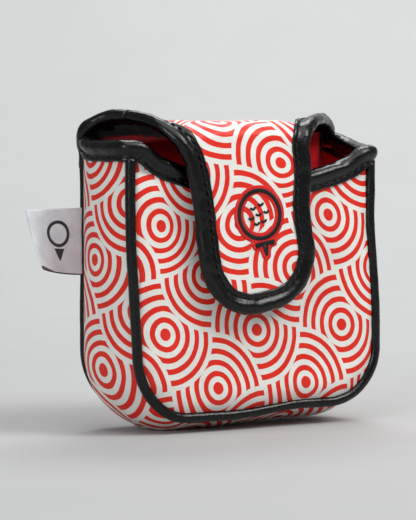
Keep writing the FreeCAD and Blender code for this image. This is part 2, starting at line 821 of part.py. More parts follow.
def make_label():
    """A ribbon folded back on itself, its two ends in the back seam and its fold standing out to the side."""
    body = new_body("side_label")
    sketch = sketch_on(body, "side_label_section", "XY_Plane", cell("label_low"))
    root, bend_x = -DIMENSIONS["label_root"], -DIMENSIONS["label_root"] - DIMENSIONS["label_long"]
    y = DIMENSIONS["seam_depth"] / 2
    ri = DIMENSIONS["label_gap"] / 2
    ro = ri + DIMENSIONS["label_thick"]
    far = [line(sketch, (root, y + r), (bend_x, y + r)) for r in (ri, ro)]
    near = [line(sketch, (bend_x, y - r), (root, y - r)) for r in (ri, ro)]
    bends = [arc(sketch, (bend_x, y), r, 90, 270) for r in (ri, ro)]
    far_end = line(sketch, (root, y + ri), (root, y + ro))
    near_end = line(sketch, (root, y - ri), (root, y - ro))
    for i in (0, 1):
        relate(sketch, "Tangent", far[i], END, bends[i], START)
        relate(sketch, "Tangent", bends[i], END, near[i], START)
        relate(sketch, "Coincident", far[i], START, far_end, START + i)
        relate(sketch, "Coincident", near[i], END, near_end, START + i)
    relate(sketch, "Coincident", bends[0], CENTRE, bends[1], CENTRE)
    relate(sketch, "Horizontal", far[0])
    relate(sketch, "Vertical", far_end)
    relate(sketch, "Vertical", near_end)
    relate(sketch, "Equal", far[0], near[0])
    dimension(sketch, "inside", "Radius", bends[0], cell("label_gap") / 2)
    dimension(sketch, "outside", "Radius", bends[1], cell("label_gap") / 2 + cell("label_thick"))
    dimension(sketch, "root", "DistanceX", far_end, START, -1, START, cell("label_root"))
    dimension(sketch, "long", "DistanceX", bends[0], CENTRE, far_end, START, cell("label_long"))
    dimension(sketch, "seam", "DistanceY", -1, START, bends[0], CENTRE, cell("seam_depth") / 2)
    pad(body, sketch, cell("label_tall"))
    return {"side_label": body}


# ---- build, check, write


def check(nodes):
    for thing in doc.Objects:
        bad = [s for s in thing.State if s in ("Invalid", "Error")]
        if bad:
            raise RuntimeError(f"{thing.Name} is {bad}")
    for name, thing in nodes.items():
        if thing.Shape.isNull() or not thing.Shape.isValid() or not thing.Shape.Solids:
            raise RuntimeError(f"{name} has no valid solid")
    for thing in doc.Objects:
        if thing.isDerivedFrom("Sketcher::SketchObject") and not thing.FullyConstrained:
            print("sketch with freedom left:", thing.Name)


def write(nodes):
    os.makedirs("parts", exist_ok=True)
    for name, thing in nodes.items():
        thing.Label = name
        thing.Shape.exportStep(f"parts/{name}.step")
        print(f"{name:24s} {len(thing.Shape.Solids):3d} solids {thing.Shape.Volume:10.1f} mm3")


fill_sheet()
parts = make_pouch()
parts.update(make_fold("rear", True, panel_half, as_size(0)))
parts.update(make_roof())
parts.update(make_fold("front", False, front_fold_half, cell("flap_side")))
parts.update(make_leaf())
parts.update(make_emblem())
parts.update(make_label())
doc.recompute()
check(parts)
write(parts)
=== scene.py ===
import json
import math

import bmesh
import bpy
import numpy as np
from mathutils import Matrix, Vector, noise


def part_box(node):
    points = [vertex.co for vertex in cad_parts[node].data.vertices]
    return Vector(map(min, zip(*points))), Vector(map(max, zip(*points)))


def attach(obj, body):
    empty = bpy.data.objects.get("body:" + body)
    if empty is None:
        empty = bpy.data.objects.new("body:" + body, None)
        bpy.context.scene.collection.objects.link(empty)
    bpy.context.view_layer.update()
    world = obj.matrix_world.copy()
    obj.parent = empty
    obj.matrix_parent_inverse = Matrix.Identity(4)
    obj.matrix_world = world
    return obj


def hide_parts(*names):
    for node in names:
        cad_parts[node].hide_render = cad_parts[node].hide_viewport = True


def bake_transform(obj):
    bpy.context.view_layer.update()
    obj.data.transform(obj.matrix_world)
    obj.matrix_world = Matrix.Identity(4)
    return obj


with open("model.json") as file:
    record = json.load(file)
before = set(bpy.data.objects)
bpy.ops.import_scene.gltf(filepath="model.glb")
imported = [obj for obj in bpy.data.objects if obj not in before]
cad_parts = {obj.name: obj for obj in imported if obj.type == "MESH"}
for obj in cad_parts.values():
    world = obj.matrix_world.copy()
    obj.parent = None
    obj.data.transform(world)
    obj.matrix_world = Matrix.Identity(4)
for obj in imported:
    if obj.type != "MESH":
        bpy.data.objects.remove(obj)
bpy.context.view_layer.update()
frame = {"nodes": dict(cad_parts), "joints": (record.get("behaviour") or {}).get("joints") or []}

# Lengths are in millimetres, but for the stage's. MM turns them into the frame's metres when a mesh is made.
MM = 0.001


# ---- sizes read from the frame


def box_mm(node):
    low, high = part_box(node)
    return low / MM, high / MM


front_low, _ = box_mm("front_panel")
_, back_high = box_mm("back_panel")
_, gusset_high = box_mm("gusset_panel")
cord_low, cord_high = box_mm("front_piping_cord")
back_cord_low, back_cord_high = box_mm("back_piping_cord")
plush_low, plush_high = box_mm("back_lining")
leaf_low, _ = box_mm("flap_front_panel")
_, roof_high = box_mm("flap_top_panel")
label_low, label_high = box_mm("side_label")
emblem_low, emblem_high = box_mm("emblem_thread")
joints = {joint["name"]: joint for joint in frame["joints"]}
rear_axis = Vector(joints["rear_fold"]["pos_m"]) / MM
front_axis = Vector(joints["front_fold"]["pos_m"]) / MM

CORD_RADIUS = (cord_high.y - cord_low.y) / 2
SEAM_HALF = cord_high.x - CORD_RADIUS
SEAM_FLOOR = cord_low.z + CORD_RADIUS
SEAM_FRONT = (cord_low.y + cord_high.y) / 2
SEAM_BACK = (back_cord_low.y + back_cord_high.y) / 2
SIDE_TOP = gusset_high.z
FRONT_APEX = front_low.y
BACK_FACE = back_high.y
WALL = BACK_FACE - plush_low.y
PLUSH = plush_high.y - plush_low.y
ROOF_TOP = roof_high.z
LEAF_TIP = leaf_low.z
LEAF_FACE = leaf_low.y

# Sizes of the soft shape that the frame doesn't give.
CORNER = 27.0  # the seam's corner radius
SIDE_BULGE = 5.4  # how far the gusset swells out past the seam, at the sides
FLOOR_BULGE = SEAM_FLOOR - 0.05
SINK = 1.0  # how far a panel's edge dives behind the piping
SEAM_ROLL = 3.4  # how far from the seam a panel's edge rolls down to it
PIPING = 2.25  # the front piping's radius
BACK_PIPING = 2.0  # the back piping's radius
BACK_INSET = 0.8  # how far in the back piping is set, where the swelling gusset hides it
DOME_RADIUS = 600.0  # the front is a shallow dome of this radius
DOME_MIDDLE = 52.0  # the height of its foremost point
MOUTH_DIP = 15.5  # how deep the front's top edge dips in the middle
MOUTH_DROP = 2.2  # the mouth binding's line is this far below the walls' full height
FRONT_DROP = 3.0  # and this far at the front
SLOT = 0.5  # the walls stop this far short of that line, inside the binding
LEAN = math.radians(10.0)  # the flap leans to the left towards its top
LEAF_HALF = 25.9  # half the leaf's width
LEAF_CORNER = 22.0  # the radius of its two lower corners
LEAF_TOP_X = -14.2  # the leaf's middle at the front fold
LEAF_LONG = (front_axis.z - LEAF_TIP) / math.cos(LEAN) - 1.6
FLAP_EDGE = 2.2  # the flap's thickness where the binding pinches it
RING = 4.65  # the print's ring pitch
LABEL_TALL = label_high.z - label_low.z
LABEL_ROOT = 0.5 - SEAM_HALF  # x of the label's sewn ends, under the back piping
LABEL_REACH = LABEL_ROOT - label_low.x - 5.4  # the ribbon ends this much inside the design's label
LABEL_THICK = 0.35


# ---- meshes


def grid_faces(rows, cols, first=0, flip=False):
    """Quads between neighbouring points of a grid that is stored row by row."""
    faces = []
    for r in range(rows - 1):
        for c in range(cols - 1):
            a = first + r * cols + c
            quad = (a, a + 1, a + cols + 1, a + cols)
            faces.append(quad[::-1] if flip else quad)
    return faces


def unit(vectors):
    return vectors / np.maximum(np.linalg.norm(vectors, axis=-1, keepdims=True), 1e-9)


def grid_normals(grid, toward):
    """Unit normals of a (rows, cols, 3) grid. They point to the side that toward points to at the grid's middle."""
    normals = unit(np.cross(np.gradient(grid, axis=1), np.gradient(grid, axis=0)))
    middle = normals[grid.shape[0] // 2, grid.shape[1] // 2]
    return normals if middle @ np.array(toward, float) > 0 else -normals


def add_object(name, data):
    made = bpy.data.objects.new(name, data)
    bpy.context.scene.collection.objects.link(made)
    return made


def make_object(name, points, faces, material, cut=None, flat_from=None):
    """A smooth mesh from points in millimetres. cut holds each point's place on the flat, printed hide.
    Faces from number flat_from on are shaded flat, as a cut edge is."""
    mesh = bpy.data.meshes.new(name)
    mesh.from_pydata([tuple(p) for p in np.asarray(points, float) * MM], [], faces)
    smooth = [flat_from is None or i < flat_from for i in range(len(mesh.polygons))]
    mesh.polygons.foreach_set("use_smooth", smooth)
    if cut is not None:
        attribute = mesh.attributes.new("cut", "FLOAT_VECTOR", "POINT")
        flat = np.zeros((len(points), 3), np.float32)
        flat[:, : cut.shape[1]] = cut
        attribute.data.foreach_set("vector", flat.ravel())
    bm = bmesh.new()
    bm.from_mesh(mesh)
    bmesh.ops.recalc_face_normals(bm, faces=bm.faces)
    bm.to_mesh(mesh)
    bm.free()
    mesh.materials.append(material)
    return add_object(name, mesh)


def make_shell(name, outer, inner, material, cut=None):
    """A closed sheet between two grids of the same shape."""
    rows, cols = outer.shape[:2]
    count = rows * cols
    faces = grid_faces(rows, cols) + grid_faces(rows, cols, count, flip=True)
    flat_from = len(faces)
    rim = list(range(cols))
    rim += [r * cols + cols - 1 for r in range(1, rows)]
    rim += [(rows - 1) * cols + c for c in range(cols - 2, -1, -1)]
    rim += [r * cols for r in range(rows - 2, 0, -1)]
    for a, b in zip(rim, rim[1:] + rim[:1]):
        faces.append((b, a, a + count, b + count))
    points = np.vstack([outer.reshape(-1, 3), inner.reshape(-1, 3)])
    flat = None if cut is None else np.vstack([cut.reshape(count, -1)] * 2)
    return make_object(name, points, faces, material, flat, flat_from)


def join_parts(parts):
    """Points and faces of several (points, faces) pairs as one pair."""
    points, faces, first = [], [], 0
    for part_points, part_faces in parts:
        points.append(np.asarray(part_points, float))
        faces += [tuple(i + first for i in face) for face in part_faces]
        first += len(part_points)
    return np.vstack(points), faces


def sweep(path, out, up, profile, closed=False):
    """A tube along path. profile holds (outward, upward) offsets, one list for all or one per path point."""
    rings, sides = len(path), profile.shape[-2]
    profile = np.broadcast_to(profile, (rings, sides, 2))
    points = path[:, None, :] + out[:, None, :] * profile[..., 0:1] + up[:, None, :] * profile[..., 1:2]
    faces = []
    for r in range(rings if closed else rings - 1):
        for s in range(sides):
            a, b = r * sides, ((r + 1) % rings) * sides
            faces.append((a + s, a + (s + 1) % sides, b + (s + 1) % sides, b + s))
    if not closed:
        faces.append(tuple(range(sides))[::-1])
        faces.append(tuple((rings - 1) * sides + s for s in range(sides)))
    return points.reshape(-1, 3), faces


def circle(radius, sides=16):
    angles = np.linspace(0, 2 * math.pi, sides, endpoint=False)
    return np.column_stack([radius * np.cos(angles), radius * np.sin(angles)])


def catmull(points, per_step):
    """Rows on Catmull-Rom curves through the given rows."""
    p = np.asarray(points, float)
    p = np.vstack([2 * p[0] - p[1], p, 2 * p[-1] - p[-2]])
    fine = []
    for i in range(1, len(p) - 2):
        a, b, c, d = p[i - 1 : i + 3]
        for t in np.linspace(0, 1, per_step, endpoint=False):
            bend = (2 * a - 5 * b + 4 * c - d) * t**2 + (3 * b - a - 3 * c + d) * t**3
            fine.append(0.5 * (2 * b + (c - a) * t + bend))
    fine.append(p[-2])
    return np.array(fine)


def lengths_along(line):
    return np.concatenate([[0], np.cumsum(np.linalg.norm(np.diff(line, axis=0), axis=1))])


def read_at(wanted, along, rows):
    """Rows that lie at the lengths along, read at the wanted lengths."""
    return np.column_stack([np.interp(wanted, along, column) for column in rows.T])


def resample(line, step, *others):
    """The line, and lists that go with it, at even steps along it."""
    along = lengths_along(line)
    wanted = np.linspace(0, along[-1], max(int(round(along[-1] / step)), 2) + 1)
    made = [read_at(wanted, along, rows) for rows in (line, *others)]
    return made if others else made[0]


def smooth_list(values, times=1):
    """A list of vectors, each averaged with its neighbours."""
    for _ in range(times):
        padded = np.vstack([values[:1], values, values[-1:]])
        values = (padded[:-2] + 2 * padded[1:-1] + padded[2:]) / 4
    return values


def ripple(points, scale, seed):
    """Smooth noise between about -1 and 1 at each point. scale is the size of one bump."""
    shift = Vector((seed * 7.1, seed * 3.7, seed * 5.3))
    values = [noise.noise(Vector(p) / scale + shift) for p in points.reshape(-1, 3)]
    return np.array(values).reshape(points.shape[:-1])


def smoothstep(low, high, x):
    """0 at low and 1 at high, or falling from 1 to 0 with x where low is the larger of the two."""
    t = np.clip((np.asarray(x, float) - low) / (high - low), 0, 1)
    return t * t * (3 - 2 * t)


def turned(points, angle):
    """(x, y) pairs turned counterclockwise."""
    c, s = math.cos(angle), math.sin(angle)
    return np.stack([points[..., 0] * c - points[..., 1] * s, points[..., 0] * s + points[..., 1] * c], axis=-1)


# ---- the pouch's surfaces


def u_curve(half, floor, corner, top, count):
    """Points (x, z) down the left side, round the bottom and up the right, with their outward directions."""
    leg = top - floor - corner
    bend = corner * math.pi / 2
    whole = 2 * (leg + bend + half - corner)
    points, outward = [], []
    for s in np.linspace(0, whole, count):
        side = -1 if s <= whole / 2 else 1
        t = min(s, whole - s)
        if t < leg:
            x, z, nx, nz = half, top - t, 1.0, 0.0
        elif t < leg + bend:
            a = (t - leg) / corner
            nx, nz = math.cos(a), -math.sin(a)
            x, z = half - corner + corner * nx, floor + corner + corner * nz
        else:
            x, z, nx, nz = half - corner - (t - leg - bend), floor, 0.0, -1.0
        points.append((side * x, z))
        outward.append((side * nx, nz))
    return np.array(points), np.array(outward)


def seam_distance(x, z):
    """How far a point of a panel is inside the seam's U."""
    side, low = SEAM_HALF - np.abs(x), z - SEAM_FLOOR
    in_corner = (side < CORNER) & (low < CORNER)
    across = CORNER - np.hypot(np.maximum(CORNER - side, 0), np.maximum(CORNER - low, 0))
    return np.maximum(np.where(in_corner, across, np.minimum(side, low)), 0)


def seam_roll(deep):
    """1 in the seam, and near 0 a few millimetres inside it."""
    return np.exp(-((deep / SEAM_ROLL) ** 1.3))


def seam_low(x):
    """The seam's height under a point of a panel."""
    over = np.maximum(np.abs(x) - (SEAM_HALF - CORNER), 0)
    return SEAM_FLOOR + CORNER - np.sqrt(np.maximum(CORNER**2 - over**2, 0))


def spread(count):
    """Shares from -1 to 1, closer together near the ends."""
    return -np.cos(np.linspace(0, math.pi, count))


def mouth_top(x):
    """The height of the front panel's top edge."""
    half = SEAM_HALF - 2.3
    bow = (half**2 + MOUTH_DIP**2) / (2 * MOUTH_DIP)
    return SIDE_TOP - MOUTH_DIP + bow - np.sqrt(bow**2 - np.minimum(np.abs(x), half) ** 2)


def dome(x, z):
    """How far the front has fallen back from its foremost point."""
    return (x**2 + (z - DOME_MIDDLE) ** 2) / (2 * DOME_RADIUS)


def front_y(x, z):
    """y of the front's dome, which never falls far behind the piping."""
    face = FRONT_APEX + dome(x, z)
    limit = SEAM_FRONT - 0.6
    return (face + limit - np.sqrt((face - limit) ** 2 + 4)) / 2 + 0.2


SLUMP = 3.0  # how far the front's upper right corner has sunk, both inwards and down
CREEP_HIGH, CREEP_LOW = 0.6, 3.2  # how far the front's left seam has crept inwards, and how much more lower down
SEAM_BOW = 2.9  # how far the front's bottom seam bows up on the right


def settle(points):
    """The pouch stands a little slack. Only its front has moved: the back keeps its place."""
    x, y, z = points[..., 0], points[..., 1], points[..., 2]
    front = smoothstep(14, -16, y)
    moved = np.array(points, float)
    moved[..., 0] -= SLUMP * smoothstep(45, 90, z) * smoothstep(15, 62, x) * front
    moved[..., 0] += (CREEP_HIGH + CREEP_LOW * smoothstep(90, 30, z)) * smoothstep(-25, -60, x) * front
    moved[..., 2] -= SLUMP * smoothstep(62, 122, z) * smoothstep(15, 62, x) * front
    bow = smoothstep(-18, 26, x) * (1 - 0.5 * smoothstep(36, 60, x)) * smoothstep(44, 6, z) * front
    moved[..., 2] += SEAM_BOW * bow
    return moved


def front_surface(cols=97, rows=90):
    x = np.tile(spread(cols) * SEAM_HALF, (rows, 1))
    share = np.linspace(0, 1, rows)[:, None]
    low, top = seam_low(x), mouth_top(x) - FRONT_DROP - SLOT
    z = low + (top - low) * share
    deep = seam_distance(x, z)
    edge = seam_roll(deep)
    y = front_y(x, z) * (1 - edge) + (SEAM_FRONT + SINK) * edge
    grid = np.stack([x, y, z], axis=2)
    swell = 0.9 * np.exp(-((deep - 9) ** 2) / 60)
    soft = 0.8 * ripple(grid, 24, 1) + 0.3 * ripple(grid, 9, 2)
    pucker = 0.3 * np.sin(ripple(grid, 6, 3) * 3) * np.exp(-deep / 5)
    calm = smoothstep(0, 4, deep) * smoothstep(0, 14, top - z)
    grid[..., 1] -= swell * smoothstep(2, 16, top - z) + (soft + pucker) * calm
    return settle(grid)


def side_top(y):
    """The height of the gusset's top edge, which climbs to the flap's hinge at the back."""
    return SIDE_TOP + 3.6 * smoothstep(4, 18, y)


def gusset_surface(cols=33, rows=241):
    rim = SIDE_TOP - MOUTH_DROP - SLOT
    line, outward = u_curve(SEAM_HALF, SEAM_FLOOR, CORNER, rim, rows)
    v = np.linspace(-1, 1, cols)
    down = np.maximum(-outward[:, 1], 0)
    bulge = SIDE_BULGE + (FLOOR_BULGE - SIDE_BULGE) * down**2
    rise = bulge[:, None] * (1 - np.abs(v) ** 2.3)[None, :]
    y = (SEAM_FRONT + SEAM_BACK) / 2 + v * ((SEAM_BACK - SEAM_FRONT) / 2 - SINK)
    grid = np.stack(np.broadcast_arrays(line[:, 0:1], y[None, :], line[:, 1:2]), axis=2)
    soft = 0.6 * ripple(grid, 18, 5) + 0.3 * ripple(grid, 8, 6)
    in_corner = (4 * down * (1 - down))[:, None]
    near_front = np.exp(-(((v[None, :] + 0.55) / 0.3) ** 2))
    fold = 0.7 * in_corner * np.sin(np.linspace(0, 150, rows))[:, None] * near_front
    push = rise + (soft + fold) * (1 - v**2)[None, :]
    grid[..., 0] += outward[:, 0:1] * push
    grid[..., 2] += outward[:, 1:2] * push
    grid[..., 2] = np.maximum(grid[..., 2], 0.02)
    grid[..., 2] += (side_top(grid[..., 1]) - SIDE_TOP) * smoothstep(95, rim, grid[..., 2])
    inward = np.zeros((rows, cols, 3))
    inward[..., 0] = -outward[:, 0:1]
    inward[..., 2] = -outward[:, 1:2]
    cut = np.stack(np.broadcast_arrays(y[None, :], rim - lengths_along(line)[:, None]), axis=2)
    return settle(grid), inward, cut


# ---- the back panel and the flap: one sheet, in rows from the bottom seam up the back, over and down
# Each station is (middle y, z, left edge x, y, z, right edge x, y, z, sag). The edges rise above the middle,
# and sag is how deep the sheet dips just inside them.

HIP = 112.0  # the height at which the stations start
STATIONS = [
    (BACK_FACE + 0.6, HIP, -62.4, SEAM_BACK - 0.9, HIP, 62.4, SEAM_BACK - 0.9, HIP, 0.0),
    (BACK_FACE + 0.7, 119.5, -63.2, SEAM_BACK - 1.0, 120.0, 63.0, SEAM_BACK - 1.0, 119.6, 0.0),
    (BACK_FACE + 0.2, 126.0, -65.0, 17.4, 125.4, 62.6, 17.4, 124.6, 0.4),
    (17.6, 130.4, -65.4, 14.2, 130.2, 60.6, 14.4, 128.8, 1.4),
    (rear_axis.y, ROOF_TOP - 1.2, -62.4, 10.4, 133.4, 56.8, 10.2, 132.0, 3.0),
    (6.0, ROOF_TOP - 0.9, -57.8, 5.0, 136.0, 51.0, 4.8, 134.0, 3.6),
    (-2.0, ROOF_TOP - 0.8, -53.0, -3.0, 136.4, 44.2, -3.2, 134.4, 3.4),
    (-10.0, ROOF_TOP - 0.8, -49.8, -11.0, 135.0, 37.4, -11.2, 134.2, 2.4),
    (-17.5, ROOF_TOP - 1.0, -47.2, -18.4, 132.2, 30.2, -18.4, 133.2, 1.4),
    (-23.6, 131.2, -44.2, -24.2, 128.2, 24.4, -24.2, 130.6, 0.6),
    (-27.2, 127.8, -41.0, -27.4, 123.4, 20.8, -27.6, 126.6, 0.0),
    (-28.1, 122.8, -37.8, -28.8, 117.4, 18.8, -28.8, 121.2, 0.0),
]
PER_STEP = 8
BACK_ROWS = 70
LEAF_ROWS = 64
FLAP_COLS = 81
SPLIT_STATION = 6  # the roof's middle, where the hide's rear and front halves meet
SPLIT_ROW = BACK_ROWS + SPLIT_STATION * PER_STEP


def back_rows(cols):
    """The back panel below the hip."""
    x = np.tile(spread(cols) * STATIONS[0][5], (BACK_ROWS, 1))
    share = np.linspace(0, 1, BACK_ROWS, endpoint=False)[:, None]
    low = seam_low(x)
    z = low + (HIP - low) * share
    edge = seam_roll(seam_distance(x, z))
    y = STATIONS[0][0] * (1 - edge) + (SEAM_BACK - SINK) * edge
    return np.stack([x, y, z], axis=2)


def station_rows(cols):
    rows = catmull(STATIONS, PER_STEP)
    share = spread(cols)[None, :]
    sharp = seam_roll((1 - np.abs(share)) * SEAM_HALF)
    softness = smoothstep(0, 3 * PER_STEP, np.arange(len(rows)))[:, None]
    bend = sharp * (1 - softness) + np.abs(share) ** 3.4 * softness
    sag = np.exp(-(((np.abs(share) - 0.76) / 0.16) ** 2)) * np.where(share < 0, 1.7, 0.7)
    left, right = rows[:, None, 2:5], rows[:, None, 5:8]
    edge = np.where(share[..., None] < 0, left, right)
    x = (left[..., 0] + right[..., 0]) / 2 + (right[..., 0] - left[..., 0]) / 2 * share
    y = rows[:, 0:1] + (edge[..., 1] - rows[:, 0:1]) * bend
    z = rows[:, 1:2] + (edge[..., 2] - rows[:, 1:2]) * bend - rows[:, 8:9] * sag
    return np.stack([x, y, z], axis=2)


def leaf_rows(top):
    """The leaf below the last station's row, which it joins smoothly. It leans, less so near its top.
    Its own first row lies on the station's and is left out."""
    first = (front_axis.z - STATIONS[-1][1]) / math.cos(LEAN)
    straight = np.linspace(first, LEAF_LONG - LEAF_CORNER, LEAF_ROWS // 2, endpoint=False)
    turn = np.linspace(0, math.pi / 2, LEAF_ROWS // 2)
    down = np.concatenate([straight, LEAF_LONG - LEAF_CORNER + LEAF_CORNER * np.sin(turn)])[:, None]
    half = np.full_like(down, LEAF_HALF)
    half[len(straight) :, 0] = LEAF_HALF - LEAF_CORNER + LEAF_CORNER * np.cos(turn)
    u = half * spread(top.shape[0])[None, :]
    straighten = 3.0 * (1 - smoothstep(14, 50, down))
    x = LEAF_TOP_X + straighten + down * math.sin(LEAN) + u * math.cos(LEAN)
    z = front_axis.z - down * math.cos(LEAN) + u * math.sin(LEAN)
    leaf = np.stack([x, LEAF_FACE + dome(x, z), z], axis=2)
    blend = smoothstep(0, 34, down - first)[..., None]
    shift = top[None] - leaf[0:1]
    return (leaf + shift * (1 - blend))[1:]


def sheet_normals(grid):
    """The flap's normals. The leaf is a piece of the front's dome, and so are its normals round its end."""
    normals = grid_normals(grid, (0, 0, 1))
    first = len(grid) - LEAF_ROWS // 2 - 6
    x, z = grid[first:, :, 0], grid[first:, :, 2]
    normals[first:] = unit(np.stack([x, np.full_like(x, -DOME_RADIUS), z - DOME_MIDDLE], axis=2))
    return normals


def flap_surface():
    """The whole sheet, its normals, each point's place on the flat hide, the sheet's thickness, which is less at
    the edges, and where its underside is painted black: 1 near the edges, 0 elsewhere. Near the edges this is black
    leather facing; where it reaches further in on the left rear arch it is painted shade."""
    stations = station_rows(FLAP_COLS)
    grid = np.concatenate([back_rows(FLAP_COLS), stations, leaf_rows(stations[-1])], axis=0)
    middle = FLAP_COLS // 2
    down = lengths_along(grid[:, middle])
    fold_row = BACK_ROWS + (len(STATIONS) - 1) * PER_STEP
    down -= down[fold_row] - (front_axis.z - STATIONS[-1][1]) / math.cos(LEAN)
    across = np.linalg.norm(np.diff(grid, axis=1), axis=2)
    across = np.concatenate([np.zeros((len(grid), 1)), np.cumsum(across, axis=1)], axis=1)
    inset = np.minimum(across, across[:, -1:] - across)
    inset = np.minimum(inset, down[-1] - down[:, None])
    flap_share = smoothstep(BACK_ROWS - 10, BACK_ROWS + 2 * PER_STEP, np.arange(len(grid)))[:, None]
    pinch = (1 - smoothstep(0, 11, inset)) * flap_share
    thickness = WALL + (FLAP_EDGE - WALL) * pinch
    across -= across[:, middle : middle + 1]
    cut = np.stack([across, np.broadcast_to(-down[:, None], across.shape)], axis=2)
    # How far in the underside is painted black: the black facing, plus 4.5 more on the left rear arch, which is
    # painted shade.
    reach = 5.5 + 4.5 * smoothstep(-20, -40, grid[..., 0]) * smoothstep(126, 130, grid[..., 2])
    facing_and_shade = (1 - smoothstep(-0.5, 0.5, inset - reach)) * flap_share
    normals = sheet_normals(grid)
    normals = np.stack([smooth_list(normals[:, c], 2) for c in range(FLAP_COLS)], axis=1)
    soft = 0.35 * ripple(grid, 20, 11) + 0.2 * ripple(grid, 8, 12)
    grid = grid + unit(normals) * soft[..., None]
    return grid, sheet_normals(grid), cut, thickness, facing_and_shade


# ---- materials


class Graph:
    """Short names for the nodes of one material."""

    def __init__(self, name):
        self.material = bpy.data.materials.new(name)
        self.material.use_nodes = True
        self.tree = self.material.node_tree
        self.shader = self.tree.nodes["Principled BSDF"]

    def node(self, kind, inputs=(), **settings):
        made = self.tree.nodes.new(kind)
        for key, value in settings.items():
            setattr(made, key, value)
        for key, value in dict(inputs).items():
            self.feed(made.inputs[key], value)
        return made

    def feed(self, socket, value):
        if isinstance(value, bpy.types.NodeSocket):
            self.tree.links.new(value, socket)
        else:
            socket.default_value = value

    def math(self, operation, *values):
        return self.node("ShaderNodeMath", dict(enumerate(values)), operation=operation).outputs[0]

    def vector(self, operation, *values):
        made = self.node("ShaderNodeVectorMath", dict(enumerate(values)), operation=operation)
        return made.outputs["Value" if operation == "LENGTH" else "Vector"]

    def attribute(self, name):
        return self.node("ShaderNodeAttribute", attribute_name=name).outputs["Vector"]

    def place(self):
        """The point's place on the object, in millimetres."""
        where = self.node("ShaderNodeTexCoord").outputs["Object"]
        return self.vector("MULTIPLY", where, (1 / MM, 1 / MM, 1 / MM))

    def noise(self, where, scale, detail=2.0, roughness=0.5):
        inputs = {"Vector": where, "Scale": scale, "Detail": detail, "Roughness": roughness}
        return self.node("ShaderNodeTexNoise", inputs).outputs[0]

    def noise_vector(self, where, scale):
        return self.node("ShaderNodeTexNoise", {"Vector": where, "Scale": scale}).outputs[1]

    def cells(self, where, scale, feature="F1"):
        inputs = {"Vector": where, "Scale": scale}
        return self.node("ShaderNodeTexVoronoi", inputs, feature=feature).outputs["Distance"]

    def split(self, vector):
        """The vector's three numbers."""
        return self.node("ShaderNodeSeparateXYZ", {"Vector": vector}).outputs

    def less_one(self, value):
        """1 - value."""
        return self.math("SUBTRACT", 1.0, value)

    def mix(self, share, a, b):
        return self.node("ShaderNodeMix", {0: share, 6: a, 7: b}, data_type="RGBA").outputs[2]

    def span(self, value, low, high, to_low=0.0, to_high=1.0):
        inputs = {"Value": value, "From Min": low, "From Max": high, "To Min": to_low, "To Max": to_high}
        return self.node("ShaderNodeMapRange", inputs).outputs[0]

    def bump(self, height, depth, strength=1.0, normal=None):
        inputs = {"Height": height, "Distance": depth * MM, "Strength": strength}
        if normal is not None:
            inputs["Normal"] = normal
        return self.node("ShaderNodeBump", inputs).outputs[0]

    def finish(self, **inputs):
        for key, value in inputs.items():
            self.feed(self.shader.inputs[key.replace("_", " ")], value)
        return self.material


def rgb(r, g, b):
    """A colour given as it looks on a screen, 0 to 255."""

    def linear(v):
        v /= 255
        return v / 12.92 if v <= 0.04045 else ((v + 0.055) / 1.055) ** 2.4

    return (linear(r), linear(g), linear(b), 1.0)


def leather_grain(g, where, fine=1.0):
    """The height of a pebbled leather grain with a few wrinkles."""
    warp = g.vector("MULTIPLY", g.noise_vector(where, 0.8), (0.8, 0.8, 0.8))
    bent = g.vector("ADD", where, warp)
    pebbles = g.cells(bent, 1.5 * fine, "SMOOTH_F1")
    creases = g.span(g.cells(bent, 0.9 * fine, "DISTANCE_TO_EDGE"), 0.0, 0.12)
    pores = g.noise(where, 4.0 * fine, 4.0)
    height = g.math("ADD", g.math("MULTIPLY", pebbles, -0.5), g.math("MULTIPLY", creases, 0.35))
    return g.math("ADD", height, g.math("MULTIPLY", pores, 0.35))


def nearest_ring(g, where, shift):
    """Distance to the nearest disc centre of a square lattice, and the offset from it, in lattice periods."""
    moved = g.vector("ADD", where, shift)
    offset = g.vector("SUBTRACT", g.vector("FRACTION", moved), (0.5, 0.5, 0.5))
    flat = g.vector("MULTIPLY", offset, (1, 1, 0))
    return g.vector("LENGTH", flat), flat


